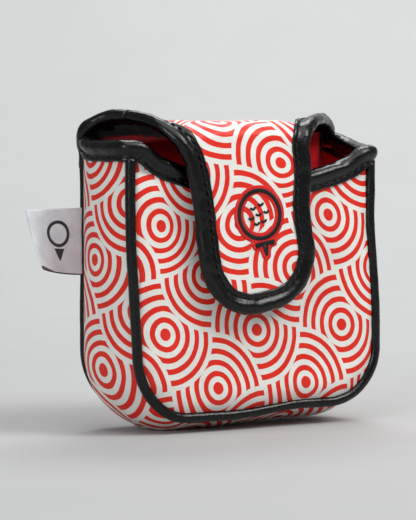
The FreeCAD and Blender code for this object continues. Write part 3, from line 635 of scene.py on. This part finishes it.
def printed_leather():
    """Cream hide printed with overlapping red rings. Each disc covers two of its four neighbours."""
    g = Graph("printed_leather")
    cut = g.attribute("cut")
    place = g.place()
    period = 10 * RING
    wobble = g.vector("SUBTRACT", g.noise_vector(place, 0.25), (0.5, 0.5, 0.5))
    wobbly = g.vector("ADD", cut, g.vector("MULTIPLY", wobble, (0.35, 0.35, 0)))
    where = g.vector("MULTIPLY", wobbly, (1 / period, 1 / period, 0))
    near_a, offset = nearest_ring(g, where, (0.5, 0.5, 0.5))
    near_b, _ = nearest_ring(g, where, (0.0, 0.0, 0.5))
    across, up, _ = g.split(offset)
    rising = g.math("GREATER_THAN", g.math("MULTIPLY", across, up), 0.0)
    in_a, in_b = g.math("LESS_THAN", near_a, 0.5), g.math("LESS_THAN", near_b, 0.5)
    b_first = g.math("MULTIPLY", rising, in_b)
    b_second = g.math("MULTIPLY", g.less_one(rising), g.less_one(in_a))
    use_b = g.math("MAXIMUM", b_first, b_second)
    from_a = g.math("MULTIPLY", g.less_one(use_b), near_a)
    distance = g.math("ADD", g.math("MULTIPLY", use_b, near_b), from_a)
    ring = g.math("MULTIPLY", distance, 10.0)
    phase = g.math("FRACT", ring)
    in_band = g.math("MULTIPLY", g.math("GREATER_THAN", phase, 0.07), g.math("LESS_THAN", phase, 0.56))
    past_first = g.math("GREATER_THAN", ring, 1.0)
    red = g.math("MAXIMUM", g.math("LESS_THAN", ring, 0.56), g.math("MULTIPLY", in_band, past_first))
    blotch = g.span(g.noise(place, 0.12, 3.0), 0.3, 0.7)
    grain = leather_grain(g, place)
    cream = g.mix(blotch, rgb(228, 227, 220), rgb(235, 234, 228))
    ink = g.mix(blotch, rgb(220, 34, 18), rgb(228, 44, 26))
    speck = g.span(g.noise(place, 3.5, 3.0), 0.35, 0.65, 0.87, 1.05)
    colour = g.mix(red, cream, ink)
    shade = g.node("ShaderNodeCombineXYZ", {"X": speck, "Y": speck, "Z": speck}).outputs[0]
    colour = g.vector("MULTIPLY", colour, shade)
    bump = g.bump(grain, 0.10, 0.55)
    rough = g.span(grain, -0.4, 0.6, 0.52, 0.40)
    return g.finish(Base_Color=colour, Roughness=rough, Normal=bump, Specular_IOR_Level=0.3, Coat_Weight=0.04)


def black_leather():
    g = Graph("black_leather")
    place = g.place()
    grain = leather_grain(g, place, 1.1)
    wrinkle = g.noise(place, 0.45, 4.0, 0.6)
    wear = g.span(g.noise(place, 0.2, 4.0), 0.45, 0.75)
    colour = g.mix(wear, rgb(3, 3, 4), rgb(9, 9, 11))
    bump = g.bump(grain, 0.025, 0.5, g.bump(wrinkle, 0.35, 0.5))
    rough = g.span(g.noise(place, 1.2, 3.0), 0.3, 0.7, 0.2, 0.3)
    return g.finish(Base_Color=colour, Roughness=rough, Normal=bump, Specular_IOR_Level=0.36)


def red_plush():
    """Red pile. cut.x is 1 where the lining is painted black: black leather facing near the flap's edges, and
    painted shade further in on the left rear arch's underside.
    """
    g = Graph("red_plush")
    place = g.place()
    pile = g.noise(place, 2.6, 6.0, 0.7)
    tufts = g.cells(place, 1.3)
    shade = g.span(g.noise(place, 0.15, 3.0), 0.3, 0.7)
    colour = g.mix(shade, rgb(236, 14, 34), rgb(250, 28, 46))
    colour = g.mix(g.span(pile, 0.25, 0.7), rgb(206, 6, 24), colour)
    facing_and_shade_share = g.split(g.attribute("cut"))[0]
    # Painted black where cut.x is 1: the black facing, and painted shade on the left rear arch's underside.
    colour = g.mix(facing_and_shade_share, colour, rgb(3, 3, 4))
    rough = g.span(facing_and_shade_share, 0.0, 1.0, 0.95, 0.4)
    bump = g.bump(g.math("SUBTRACT", pile, g.math("MULTIPLY", tufts, 0.4)), 0.7, 0.8)
    return g.finish(Base_Color=colour, Roughness=rough, Normal=bump, Sheen_Weight=0.1, Specular_IOR_Level=0.2)


def thread(name, groove_shade, light):
    """Satin-stitched thread, with fine ridges across its run. Its colour is painted darker in the grooves and
    lighter on the crests: painted shade and painted highlight. cut.x is the length along it.
    """
    g = Graph(name)
    along = g.split(g.attribute("cut"))[0]
    jitter = g.math("MULTIPLY", g.noise(g.place(), 1.5, 2.0), 1.2)
    ridge = g.math("SINE", g.math("ADD", g.math("MULTIPLY", along, 2 * math.pi / 0.45), jitter))
    # Painted shade in the grooves between the ridges, painted highlight on their crests.
    colour = g.mix(g.span(ridge, -1.0, 1.0), groove_shade, light)
    bump = g.bump(ridge, 0.12, 0.8)
    return g.finish(Base_Color=colour, Roughness=0.45, Normal=bump, Sheen_Weight=0.05, Specular_IOR_Level=0.25)


def label_satin():
    """Grey-white satin ribbon with a small woven ball on a tee."""
    g = Graph("label_satin")
    cut = g.attribute("cut")
    place = g.place()
    across, up, _ = g.split(cut)
    from_ball = g.vector("LENGTH", g.vector("SUBTRACT", g.vector("MULTIPLY", cut, (1, 1, 0)), (0.0, 3.4, 0.0)))
    ball = g.math("MULTIPLY", g.math("GREATER_THAN", from_ball, 4.5), g.math("LESS_THAN", from_ball, 6.0))
    tee_half = g.span(up, -8.5, -3.0, 0.4, 3.0)
    in_width = g.math("LESS_THAN", g.math("ABSOLUTE", across), tee_half)
    in_height = g.math("MULTIPLY", g.math("LESS_THAN", up, -3.2), g.math("GREATER_THAN", up, -8.6))
    mark = g.math("MAXIMUM", ball, g.math("MULTIPLY", in_width, in_height))
    weft = g.math("SINE", g.math("MULTIPLY", up, 2 * math.pi / 0.35))
    warp = g.math("SINE", g.math("MULTIPLY", across, 2 * math.pi / 0.5))
    weave = g.math("ADD", g.math("MULTIPLY", weft, 0.7), g.math("MULTIPLY", warp, 0.3))
    foot = -LABEL_TALL / 2
    hem = g.math("LESS_THAN", up, g.span(across, 5.0, 13.0, 0.55 + foot, 1.9 + foot))
    cloth = g.mix(g.span(g.noise(place, 0.2, 3.0), 0.3, 0.7), rgb(206, 211, 216), rgb(226, 230, 234))
    colour = g.mix(g.math("MULTIPLY", g.math("MAXIMUM", mark, hem), 0.96), cloth, rgb(16, 16, 19))
    bump = g.bump(weave, 0.06, 0.5)
    return g.finish(Base_Color=colour, Roughness=0.38, Normal=bump, Sheen_Weight=0.08, Specular_IOR_Level=0.3)


def magnet_steel():
    g = Graph("magnet_steel")
    brushed = g.noise(g.vector("MULTIPLY", g.place(), (0.2, 1, 3)), 2.0, 4.0)
    colour = g.mix(brushed, rgb(120, 122, 126), rgb(168, 170, 174))
    return g.finish(Base_Color=colour, Metallic=1.0, Roughness=g.span(brushed, 0.2, 0.8, 0.25, 0.45))


def studio_paper():
    g = Graph("studio_paper")
    tone = g.noise(g.place(), 0.02, 3.0)
    return g.finish(Base_Color=g.mix(tone, rgb(169, 170, 170), rgb(173, 174, 174)), Roughness=0.9)


PRINTED, BLACK, PLUSH_RED = printed_leather(), black_leather(), red_plush()
# Each thread's two colours are its painted shade in the grooves and its painted highlight on the ridge crests.
RED_THREAD = thread("red_thread", rgb(196, 14, 14), rgb(238, 40, 32))
BLACK_THREAD = thread("black_thread", rgb(4, 4, 5), rgb(24, 24, 27))
LABEL, STEEL, PAPER = label_satin(), magnet_steel(), studio_paper()


# ---- the pouch


# The printed lattice of discs on each panel: a disc's centre, and the steps to the next discs across and up.
# The hide is stretched over the foam, so its lattice isn't quite square.
PRINT_FRONT = ((-2.4, 43.3), (44.7, 0.4), (-6.5, 48.1))
PRINT_FLAP = ((17.6, -59.8), (48.3, 0.0), (-2.6, 48.0))
PRINT_SIDE = ((1.2, 74.0), (46.2, -3.0), (3.0, 45.8))


def on_hide(flat, centre, across, up):
    """Places on the flat hide, where the discs stand on an even square lattice."""
    steps = np.linalg.inv(np.array([across, up]))
    return (flat - np.array(centre)) @ steps * 10 * RING


# Each half of the flap: the body on one side of its fold, the body on the other, and two points (y, z) of the fold.
# Only the halves' names are read below.
FLAP_HALVES = {
    "rear": ("pouch", "flap_top", (BACK_FACE, rear_axis.z - 3.2), (rear_axis.y - 2, ROOF_TOP)),
    "front": ("flap_top", "flap_front", (front_axis.y + 2, ROOF_TOP), (front_axis.y - 7.4, front_axis.z - 2.6)),
}


def put(piece, place, replaced=()):
    """The piece rides on the body called place; for a half of the flap, its transform is only baked into its mesh.
    """
    if place in FLAP_HALVES:
        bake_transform(piece)
    else:
        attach(piece, place)
    if replaced:
        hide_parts(*replaced)


def make_layers(names, place, surfaces, cut, leather_nodes, plush_nodes, facing_and_shade=None):
    """Printed leather on its foam, and the plush inside. The three surfaces come from the outside in."""
    outer, foam, inner = surfaces
    leather = make_shell(names[0], outer, foam, PRINTED, cut)
    put(leather, place, leather_nodes)
    plush = make_shell(names[1], foam, inner, PLUSH_RED, facing_and_shade)
    put(plush, place, plush_nodes)


def make_front():
    outer = front_surface()
    # The print has slid a little on the foam near the upper left corner.
    slack = smoothstep(-20, -50, outer[..., 0]) * smoothstep(60, 90, outer[..., 2])
    flat = np.stack([outer[..., 0] - 5.0 * slack, outer[..., 2] + 2.4 * slack], axis=2)
    cut = on_hide(flat, *PRINT_FRONT)
    back = np.array([0, 1.0, 0])
    surfaces = (outer, outer + back * (WALL - PLUSH), outer + back * WALL)
    nodes = (("front_panel", "front_foam"), ("front_lining",))
    make_layers(("front_panel_padded", "front_plush"), "pouch", surfaces, cut, *nodes)


def make_gusset():
    outer, inward, cut = gusset_surface()
    half_period = 5 * RING
    cut = on_hide(cut, *PRINT_SIDE) + half_period
    surfaces = (outer, outer + inward * (WALL - PLUSH), outer + inward * WALL)
    nodes = (("gusset_panel", "gusset_foam"), ("gusset_lining",))
    make_layers(("gusset_padded", "gusset_plush"), "pouch", surfaces, cut, *nodes)


def make_flap(grid, normals, cut, thickness, facing_and_shade):
    cut = on_hide(cut, *PRINT_FLAP)
    halves = {
        "rear": (
            slice(0, SPLIT_ROW + 1),
            ("back_panel", "back_foam", "rear_fold_panel"),
            ("back_lining", "rear_fold_lining"),
        ),
        "front": (
            slice(SPLIT_ROW, len(grid)),
            ("flap_top_panel", "flap_top_foam", "front_fold_panel", "flap_front_panel", "flap_front_foam"),
            ("flap_top_lining", "front_fold_lining", "flap_front_lining"),
        ),
    }
    for half, (rows, *nodes) in halves.items():
        outer = grid[rows]
        inner = outer - normals[rows] * thickness[rows][..., None]
        foam = outer + (inner - outer) * (1 - PLUSH / WALL)
        names = (f"flap_{half}_padded", f"flap_{half}_plush")
        make_layers(names, half, (outer, foam, inner), cut[rows], *nodes, facing_and_shade[rows][..., None])


# ---- piping, bindings and stitches


def make_piping(name, y, top, nodes, radius, inset):
    """A corded tube along a seam. inset sets it in from the seam's line."""
    line, outward = u_curve(SEAM_HALF - inset, SEAM_FLOOR + inset, CORNER, top, 260)
    path = np.column_stack([line[:, 0], np.full(len(line), y), line[:, 1]])
    out = np.column_stack([outward[:, 0], np.zeros(len(line)), outward[:, 1]])
    forward = np.tile([0.0, 1.0, 0.0], (len(line), 1))
    wave = ripple(path, 22, 21)
    path = path + out * (0.35 * wave)[:, None] + forward * (0.35 * ripple(path, 17, 22))[:, None]
    path[:, 2] = np.maximum(path[:, 2], PIPING + 0.1)
    size = 1 + 0.04 * ripple(path, 5, 23)
    profile = circle(radius)[None] * size[:, None, None]
    path = settle(path)
    points, faces = sweep(path, out, forward, profile)
    piece = make_object(name, points, faces, BLACK, flat_from=len(faces) - 2)
    put(piece, "pouch", nodes)


STRIP = 6.2  # how far the binding's flat strips reach from the edge
STITCH_LINE = 4.2  # how far from the edge its stitches are
STITCH_PITCH = 3.9
STITCH_LENGTH = 2.7
STITCH_RADIUS = 0.3
PATH_STEP = 1.2  # between the sections of a binding
FLAP_BEAD = 1.55  # how far the flap's binding bulges out beside its edge
MOUTH_SECTION = (WALL - 0.6, 1.7, 6.5, 0.4)  # the mouth binding's wall, bead, inner and grow, as named below


def binding_profile(wall, bead, inner, grow):
    """The binding's section: a rolled bead over the wall's edge, and a flat strip down each face.
    The first number is out from the wall's outer face, the second is past the wall's edge. The inner strip
    reaches down by inner, over a wall that has grown thicker there by grow."""
    strip = [(0.05, -STRIP), (0.6, -STRIP), (0.85, -5.6), (0.75, -4.9), (0.45, -STITCH_LINE), (0.5, -3.2)]
    roll = [(bead * s, u) for s, u in ((0.72, -2.3), (1.08, -1.1), (1.12, 0.3), (0.8, 1.6), (0.25, 2.4))]
    roll += [(-0.2 * wall, 2.8)]
    under = [(-wall - o, u) for o, u in reversed(roll)]
    stretch = inner / STRIP
    under += [(-wall - o - 0.3 - grow * smoothstep(0, 11, -u * stretch), u * stretch) for o, u in reversed(strip)]
    foot = -wall - grow * float(smoothstep(0, 11, inner))
    slot = [(foot + 0.1, -inner + 0.1), (-wall + 0.1, -0.3), (-0.1, -0.3), (-0.1, -STRIP + 0.1)]
    return np.array(strip + roll + [(-wall / 2, 2.95)] + under + slot, float)


def binding_rings(path, seed, wall, bead, inner, grow):
    """The section at every path point, with the small swellings and tucks of sewn leather."""
    base = binding_profile(wall, bead, STRIP, 0.0)
    reaches = np.broadcast_to(inner, len(path))
    rings = np.array([binding_profile(wall, bead, reach, grow) for reach in reaches])
    where = np.repeat(path[:, None, :] * 0.5, len(base), axis=1)
    where[..., 0] += np.arange(len(base))[None, :] * 0.9
    tuck = 0.35 * ripple(where, 2.6, seed) + 0.22 * ripple(where, 1.1, seed + 1)
    away = unit(base - np.array([-wall / 2, -1.0]))
    tuck[:, -4:] = 0
    rings += away[None] * tuck[..., None]
    waver = 0.35 * ripple(path * 0.5, 3.0, seed + 2)
    rings[:, (0, 1, 2, -5, -6, -7), 1] += waver[:, None]
    return rings


def stitch_row(path, out, up, offset, outward):
    """Stitches along a path, with their ends sunk into the binding. outward is 1 on its outer face, -1 inside."""
    line = path + out * offset + up * -STITCH_LINE
    along = lengths_along(line)
    parts = []
    for s in np.arange(STITCH_PITCH / 2, along[-1] - STITCH_PITCH / 2, STITCH_PITCH):
        at = np.linspace(s - STITCH_LENGTH / 2, s + STITCH_LENGTH / 2, 7)
        mid = read_at(at, along, line)
        rise = read_at(at, along, out) * outward
        lift = np.array([-0.35, 0.02, 0.14, 0.18, 0.14, 0.02, -0.35])
        mid = mid + rise * lift[:, None]
        tangent = unit(np.gradient(mid, axis=0))
        across = unit(np.cross(tangent, rise))
        parts.append(sweep(mid, rise, across, circle(STITCH_RADIUS, 6)))
    return join_parts(parts)


def make_binding(name, path, out, up, seed, wall, *section):
    """A binding along a path and the stitches through it. wall and section are as in binding_profile."""
    rings = binding_rings(path, seed, wall, *section)
    points, faces = sweep(path, out, up, rings)
    binding = make_object(name, points, faces, BLACK, flat_from=len(faces) - 2)
    rows = [stitch_row(path, out, up, 0.6, 1.0), stitch_row(path, out, up, -wall - 0.6, -1.0)]
    points, faces = join_parts(rows)
    cut = np.zeros((len(points), 2))
    stitches = make_object(name + "_stitches", points, faces, BLACK_THREAD, cut)
    return binding, stitches


def mouth_path():
    """The mouth's edge from the left back corner round the front to the right back corner, and its directions."""
    corner = [
        (-64.6, 17.6, side_top(17.6)),
        (-67.4, 9.0, side_top(9.0)),
        (-68.3, 1.0, SIDE_TOP),
        (-67.9, -7.0, SIDE_TOP),
        (-67.0, -13.8, SIDE_TOP + 0.2),
        (-64.6, -19.6, SIDE_TOP + 0.1),
        (-58.0, -21.8, SIDE_TOP - 0.7),
    ]
    corner = [(x, y, z - MOUTH_DROP) for x, y, z in corner]
    tops = [(x, float(mouth_top(x))) for x in np.arange(-50, 51, 10.0)]
    front = [(x, min(float(front_y(x, z)), float(front_y(x, z - 8))) - 0.25, z - FRONT_DROP) for x, z in tops]
    mirrored = [(-x, y, z) for x, y, z in reversed(corner)]
    path = settle(resample(catmull(np.array(corner + front + mirrored), 12), PATH_STEP))
    tangent = unit(smooth_list(np.gradient(path, axis=0), 3))
    out = unit(np.cross(tangent, [0.0, 0.0, 1.0]))
    return path, out, np.cross(out, tangent)


def make_mouth():
    path, out, up = mouth_path()
    binding, stitches = make_binding("mouth_binding_leather", path, out, up, 31, *MOUTH_SECTION)
    put(binding, "pouch", ("mouth_binding",))
    put(stitches, "pouch")


def flap_edge(grid, normals):
    """The flap's edge from the left hip over the roof, round the leaf's tip and back to the right hip."""

    def border(a):
        return np.concatenate([a[BACK_ROWS:, 0], a[-1, 1:-1], a[BACK_ROWS:, -1][::-1]])

    path, out = resample(border(grid), PATH_STEP, smooth_list(border(normals), 4))
    path = smooth_list(path, 2)
    tangent = unit(smooth_list(np.gradient(path, axis=0), 3))
    out = unit(out - tangent * np.sum(out * tangent, axis=1, keepdims=True))
    return path, out, np.cross(tangent, out)


def make_flap_bindings(grid, normals):
    path, out, up = flap_edge(grid, normals)
    left_split = np.argmin(np.linalg.norm(path - grid[SPLIT_ROW, 0], axis=1))
    right_split = np.argmin(np.linalg.norm(path - grid[SPLIT_ROW, -1], axis=1))
    spans = {
        "rear_left": (slice(0, left_split + 1), "rear", ("rear_fold_binding", "shoulder_binding")),
        "front": (
            slice(left_split, right_split + 1),
            "front",
            ("flap_top_binding", "front_fold_binding", "flap_front_binding"),
        ),
        "rear_right": (slice(right_split, len(path)), "rear", ()),
    }
    for name, (span, half, nodes) in spans.items():
        way = (path[span], out[span], up[span])
        # The inner strip is short at the rear, where the flap lies on the pouch's corners.
        inner = 2.6 + 3.4 * smoothstep(12, 6, path[span][:, 1])
        section = (FLAP_EDGE, FLAP_BEAD, inner, WALL - FLAP_EDGE)
        binding, stitches = make_binding(f"flap_{name}_binding", *way, 41, *section)
        put(binding, half, nodes)
        put(stitches, half)


# ---- the emblem and the label


EMBLEM_MIDDLE = ((emblem_low.x + emblem_high.x) / 2 - 1.6, (emblem_low.z + emblem_high.z) / 2 + 0.4)
BALL_RISE, BALL_RADIUS = 3.6, 10.2
DIMPLE_RADIUS = 1.3
DIMPLES = ((-2.6, 7.6), (1.6, 8.6), (-0.4, 4.6), (3.6, 5.0), (-4.2, 3.6), (1.6, 1.4), (-2.0, 0.9))


def leaf_point(x, z):
    return np.stack([x, LEAF_FACE + dome(x, z), z], axis=-1)


def on_leaf(flat):
    """Points of the leaf's face from (across, up) pairs measured from the emblem's middle."""
    leaning = turned(np.asarray(flat, float), LEAN)
    return leaf_point(leaning[..., 0] + EMBLEM_MIDDLE[0], leaning[..., 1] + EMBLEM_MIDDLE[1])


def satin(path, width, height, closed=True):
    """A domed band of satin stitch along a flat path."""
    line = np.asarray(path, float)
    if closed:
        line = np.vstack([line, line[:1]])
    along = lengths_along(line)
    count = int(along[-1] / 0.16)
    at = np.linspace(0, along[-1], count, endpoint=not closed)
    flat = on_leaf(read_at(at, along, line))
    if closed:
        tangent = np.roll(flat, -1, axis=0) - np.roll(flat, 1, axis=0)
    else:
        tangent = np.gradient(flat, axis=0)
    tangent = unit(tangent)
    out = np.tile([0.0, -1.0, 0.0], (count, 1))
    across = unit(np.cross(tangent, out))
    angles = np.linspace(0, math.pi, 9)
    crown = np.column_stack([height * np.sin(angles) ** 0.7, -width / 2 * np.cos(angles)])
    section = np.vstack([crown, [(-0.3, width / 2), (-0.3, -width / 2)]])
    ridge = 1 + 0.035 * np.sin(at * 2 * math.pi / 0.48)
    profile = np.tile(section, (count, 1, 1))
    profile[:, : len(crown), :] *= ridge[:, None, None]
    points, faces = sweep(flat, out, across, profile, closed)
    cut = np.repeat(at, len(section))[:, None]
    return points, faces, cut


def ball_outline():
    return circle(BALL_RADIUS, 160) + np.array([0, BALL_RISE])


def tee_outline(grow):
    """The tee below the ball, a cup and a tapering peg, larger by grow."""
    top, neck, tip = BALL_RISE - BALL_RADIUS - 1.6, -9.0, -14.6
    side = [(5.0 + grow, top + grow), (4.6 + grow, top - 1.6), (1.7 + grow, neck), (0.5 + grow, tip - grow)]
    return np.array(side + [(-x, z) for x, z in reversed(side)])


def make_stitched(name, bands, material, nodes):
    cuts = np.vstack([cut for _, _, cut in bands])
    points, faces = join_parts([(p, f) for p, f, _ in bands])
    piece = make_object(name, points, faces, material, cuts)
    put(piece, "flap_front", nodes)


def make_emblem():
    border = [satin(ball_outline(), 4.8, 0.4), satin(tee_outline(0.0), 3.3, 0.4)]
    make_stitched("emblem_border_stitching", border, RED_THREAD, ("emblem_border",))
    black = [satin(ball_outline(), 2.0, 0.75), satin(tee_outline(-0.5), 1.5, 0.7)]
    for x, z in DIMPLES:
        arc = np.linspace(math.radians(200), math.radians(340), 12)
        dimple = np.column_stack([x + DIMPLE_RADIUS * np.cos(arc), z + DIMPLE_RADIUS * np.sin(arc)])
        black.append(satin(dimple, 1.0, 0.5, closed=False))
    make_stitched("emblem_satin_stitching", black, BLACK_THREAD, ("emblem_thread",))


def label_line():
    """The ribbon's fold seen from above: out along the front layer, round the end and back."""
    half = 0.7
    shares = np.linspace(0.0, 1.0, 14)
    front = [(s * LABEL_REACH, -half - 0.4 * math.sin(s * math.pi)) for s in shares[:-1]]
    turn = np.radians(np.linspace(-90, 90, 9))
    end = [(LABEL_REACH + half * math.cos(a), half * math.sin(a)) for a in turn]
    back = [(s * LABEL_REACH, half + 0.3 * math.sin(s * math.pi)) for s in shares[-2::-1]]
    return np.array(front + end + back)


CURL_FORWARD, CURL_UP = 11.0, 3.6  # how far the label's lower free corner curls towards the front, and up


def make_label():
    """A folded ribbon, sewn in at the left back seam."""
    flat = label_line()
    along = lengths_along(flat)
    share = np.linspace(0, 1, 40)[:, None]
    low = 1 - share
    far = (flat[:, 0] / LABEL_REACH)[None, :]
    bow = 1.2 * np.sin(share * math.pi) * far
    x = LABEL_ROOT - flat[None, :, 0] * (1 - 0.07 * low)
    y = (label_low.y + label_high.y) / 2 + flat[None, :, 1] - CURL_FORWARD * low * far**2.2 + bow
    z = label_low.z + LABEL_TALL * share + CURL_UP * low**1.4 * far**1.8 - 0.6 * share * far
    grid = np.stack([x, y, z], axis=2)
    across = np.broadcast_to(along - LABEL_REACH / 2, x.shape)
    cut = np.stack([across, np.broadcast_to(LABEL_TALL * (share - 0.5), x.shape)], axis=2)
    inner = grid - grid_normals(grid, (0, -1, 0)) * LABEL_THICK
    piece = make_shell("side_label_ribbon", grid, inner, LABEL, cut)
    put(piece, "label", ("side_label",))


# ---- everything in place, then light and camera


def dress_cad_nodes():
    """The two magnets inside each wall stay as the design has them."""
    for name in ("pouch_magnets", "flap_magnets"):
        materials = frame["nodes"][name].data.materials
        materials.clear()
        materials.append(STEEL)


def make_pipings():
    make_piping("front_piping_tube", SEAM_FRONT, 117.0, ("front_piping_cover", "front_piping_cord"), PIPING, 0.0)
    nodes = ("back_piping_cover", "back_piping_cord")
    make_piping("back_piping_tube", SEAM_BACK, 116.0, nodes, BACK_PIPING, BACK_INSET)


# The stage's sizes, in metres. The camera stands to the left of the cover's front.
CAMERA_TURN = math.radians(31.8)
RIGHT = np.array([math.cos(CAMERA_TURN), -math.sin(CAMERA_TURN), 0])  # as the camera sees it
NEARER = np.array([-math.sin(CAMERA_TURN), -math.cos(CAMERA_TURN), 0])  # towards the camera
CAMERA_FAR = 1.25
CAMERA_HIGH = 0.140
LENS = 199.0
AIM = (0.0, 0.0, 0.072)
AIM_SIDE = -0.0100
FLOOR_NEAR, FLOOR_FAR, FLOOR_HALF = -2.5, 0.9, 3.0
WALL_BEND, WALL_TOP = 0.9, 3.2


def look_at(piece, target):
    piece.rotation_euler = (Vector(target) - piece.location).to_track_quat("-Z", "Y").to_euler()


def add_area(name, place, target, size, power, colour=(1, 1, 1)):
    light = bpy.data.lights.new(name, "AREA")
    light.shape = "DISK"
    light.size = size
    light.energy = power
    light.color = colour
    lamp = add_object(name, light)
    lamp.location = place
    look_at(lamp, target)


def make_backdrop():
    """A paper sweep: floor, a wide bend and a wall, turned to face the camera."""
    profile = [(FLOOR_NEAR, 0.0), (FLOOR_FAR, 0.0)]
    for a in np.linspace(0, math.pi / 2, 24)[1:]:
        profile.append((FLOOR_FAR + WALL_BEND * math.sin(a), WALL_BEND * (1 - math.cos(a))))
    profile.append((FLOOR_FAR + WALL_BEND, WALL_TOP))
    points, faces = [], []
    for depth, height in profile:
        for s in (-FLOOR_HALF, FLOOR_HALF):
            points.append((-NEARER * depth + RIGHT * s + np.array([0, 0, height])) / MM)
    for i in range(len(profile) - 1):
        faces.append((2 * i, 2 * i + 1, 2 * i + 3, 2 * i + 2))
    sheet = make_object("backdrop", points, faces, PAPER)


def make_camera():
    camera = add_object("camera", bpy.data.cameras.new("camera"))
    camera.data.lens = LENS
    camera.data.sensor_width = 36.0
    target = Vector(AIM) + Vector(RIGHT) * AIM_SIDE
    camera.location = target + Vector(NEARER) * CAMERA_FAR + Vector((0, 0, CAMERA_HIGH - AIM[2]))
    look_at(camera, target)
    bpy.context.scene.camera = camera


def make_light():
    middle = (0, 0, 0.07)

    def beside(sideways, toward, high):
        """A place to the right of the cover, towards the camera and up, in metres."""
        return tuple(RIGHT * sideways + NEARER * toward + np.array([0, 0, high]))

    add_area("key_light", beside(1.1, 0.45, 1.25), middle, 0.8, 16.5, (1.0, 0.985, 0.965))
    add_area("top_light", beside(0.2, 0.45, 1.45), middle, 1.5, 13)
    add_area("fill_light", beside(-0.85, 1.35, 0.55), middle, 0.6, 7.5, (0.95, 0.97, 1.0))
    add_area("wall_light", beside(0.1, -1.0, 1.3), beside(0.15, -1.3, 0.1), 1.0, 17.5)
    world = bpy.context.scene.world or bpy.data.worlds.new("world")
    bpy.context.scene.world = world
    world.use_nodes = True
    background = world.node_tree.nodes["Background"]
    background.inputs["Color"].default_value = (0.95, 0.97, 1.0, 1)
    background.inputs["Strength"].default_value = 0.24


make_camera()
make_front()
make_gusset()
flap_grid, flap_normals, *flap_more = flap_surface()
make_flap(flap_grid, flap_normals, *flap_more)
make_pipings()
make_mouth()
make_flap_bindings(flap_grid, flap_normals)
make_emblem()
make_label()
dress_cad_nodes()
make_backdrop()
make_light()
bpy.context.scene.view_settings.view_transform = "Standard"
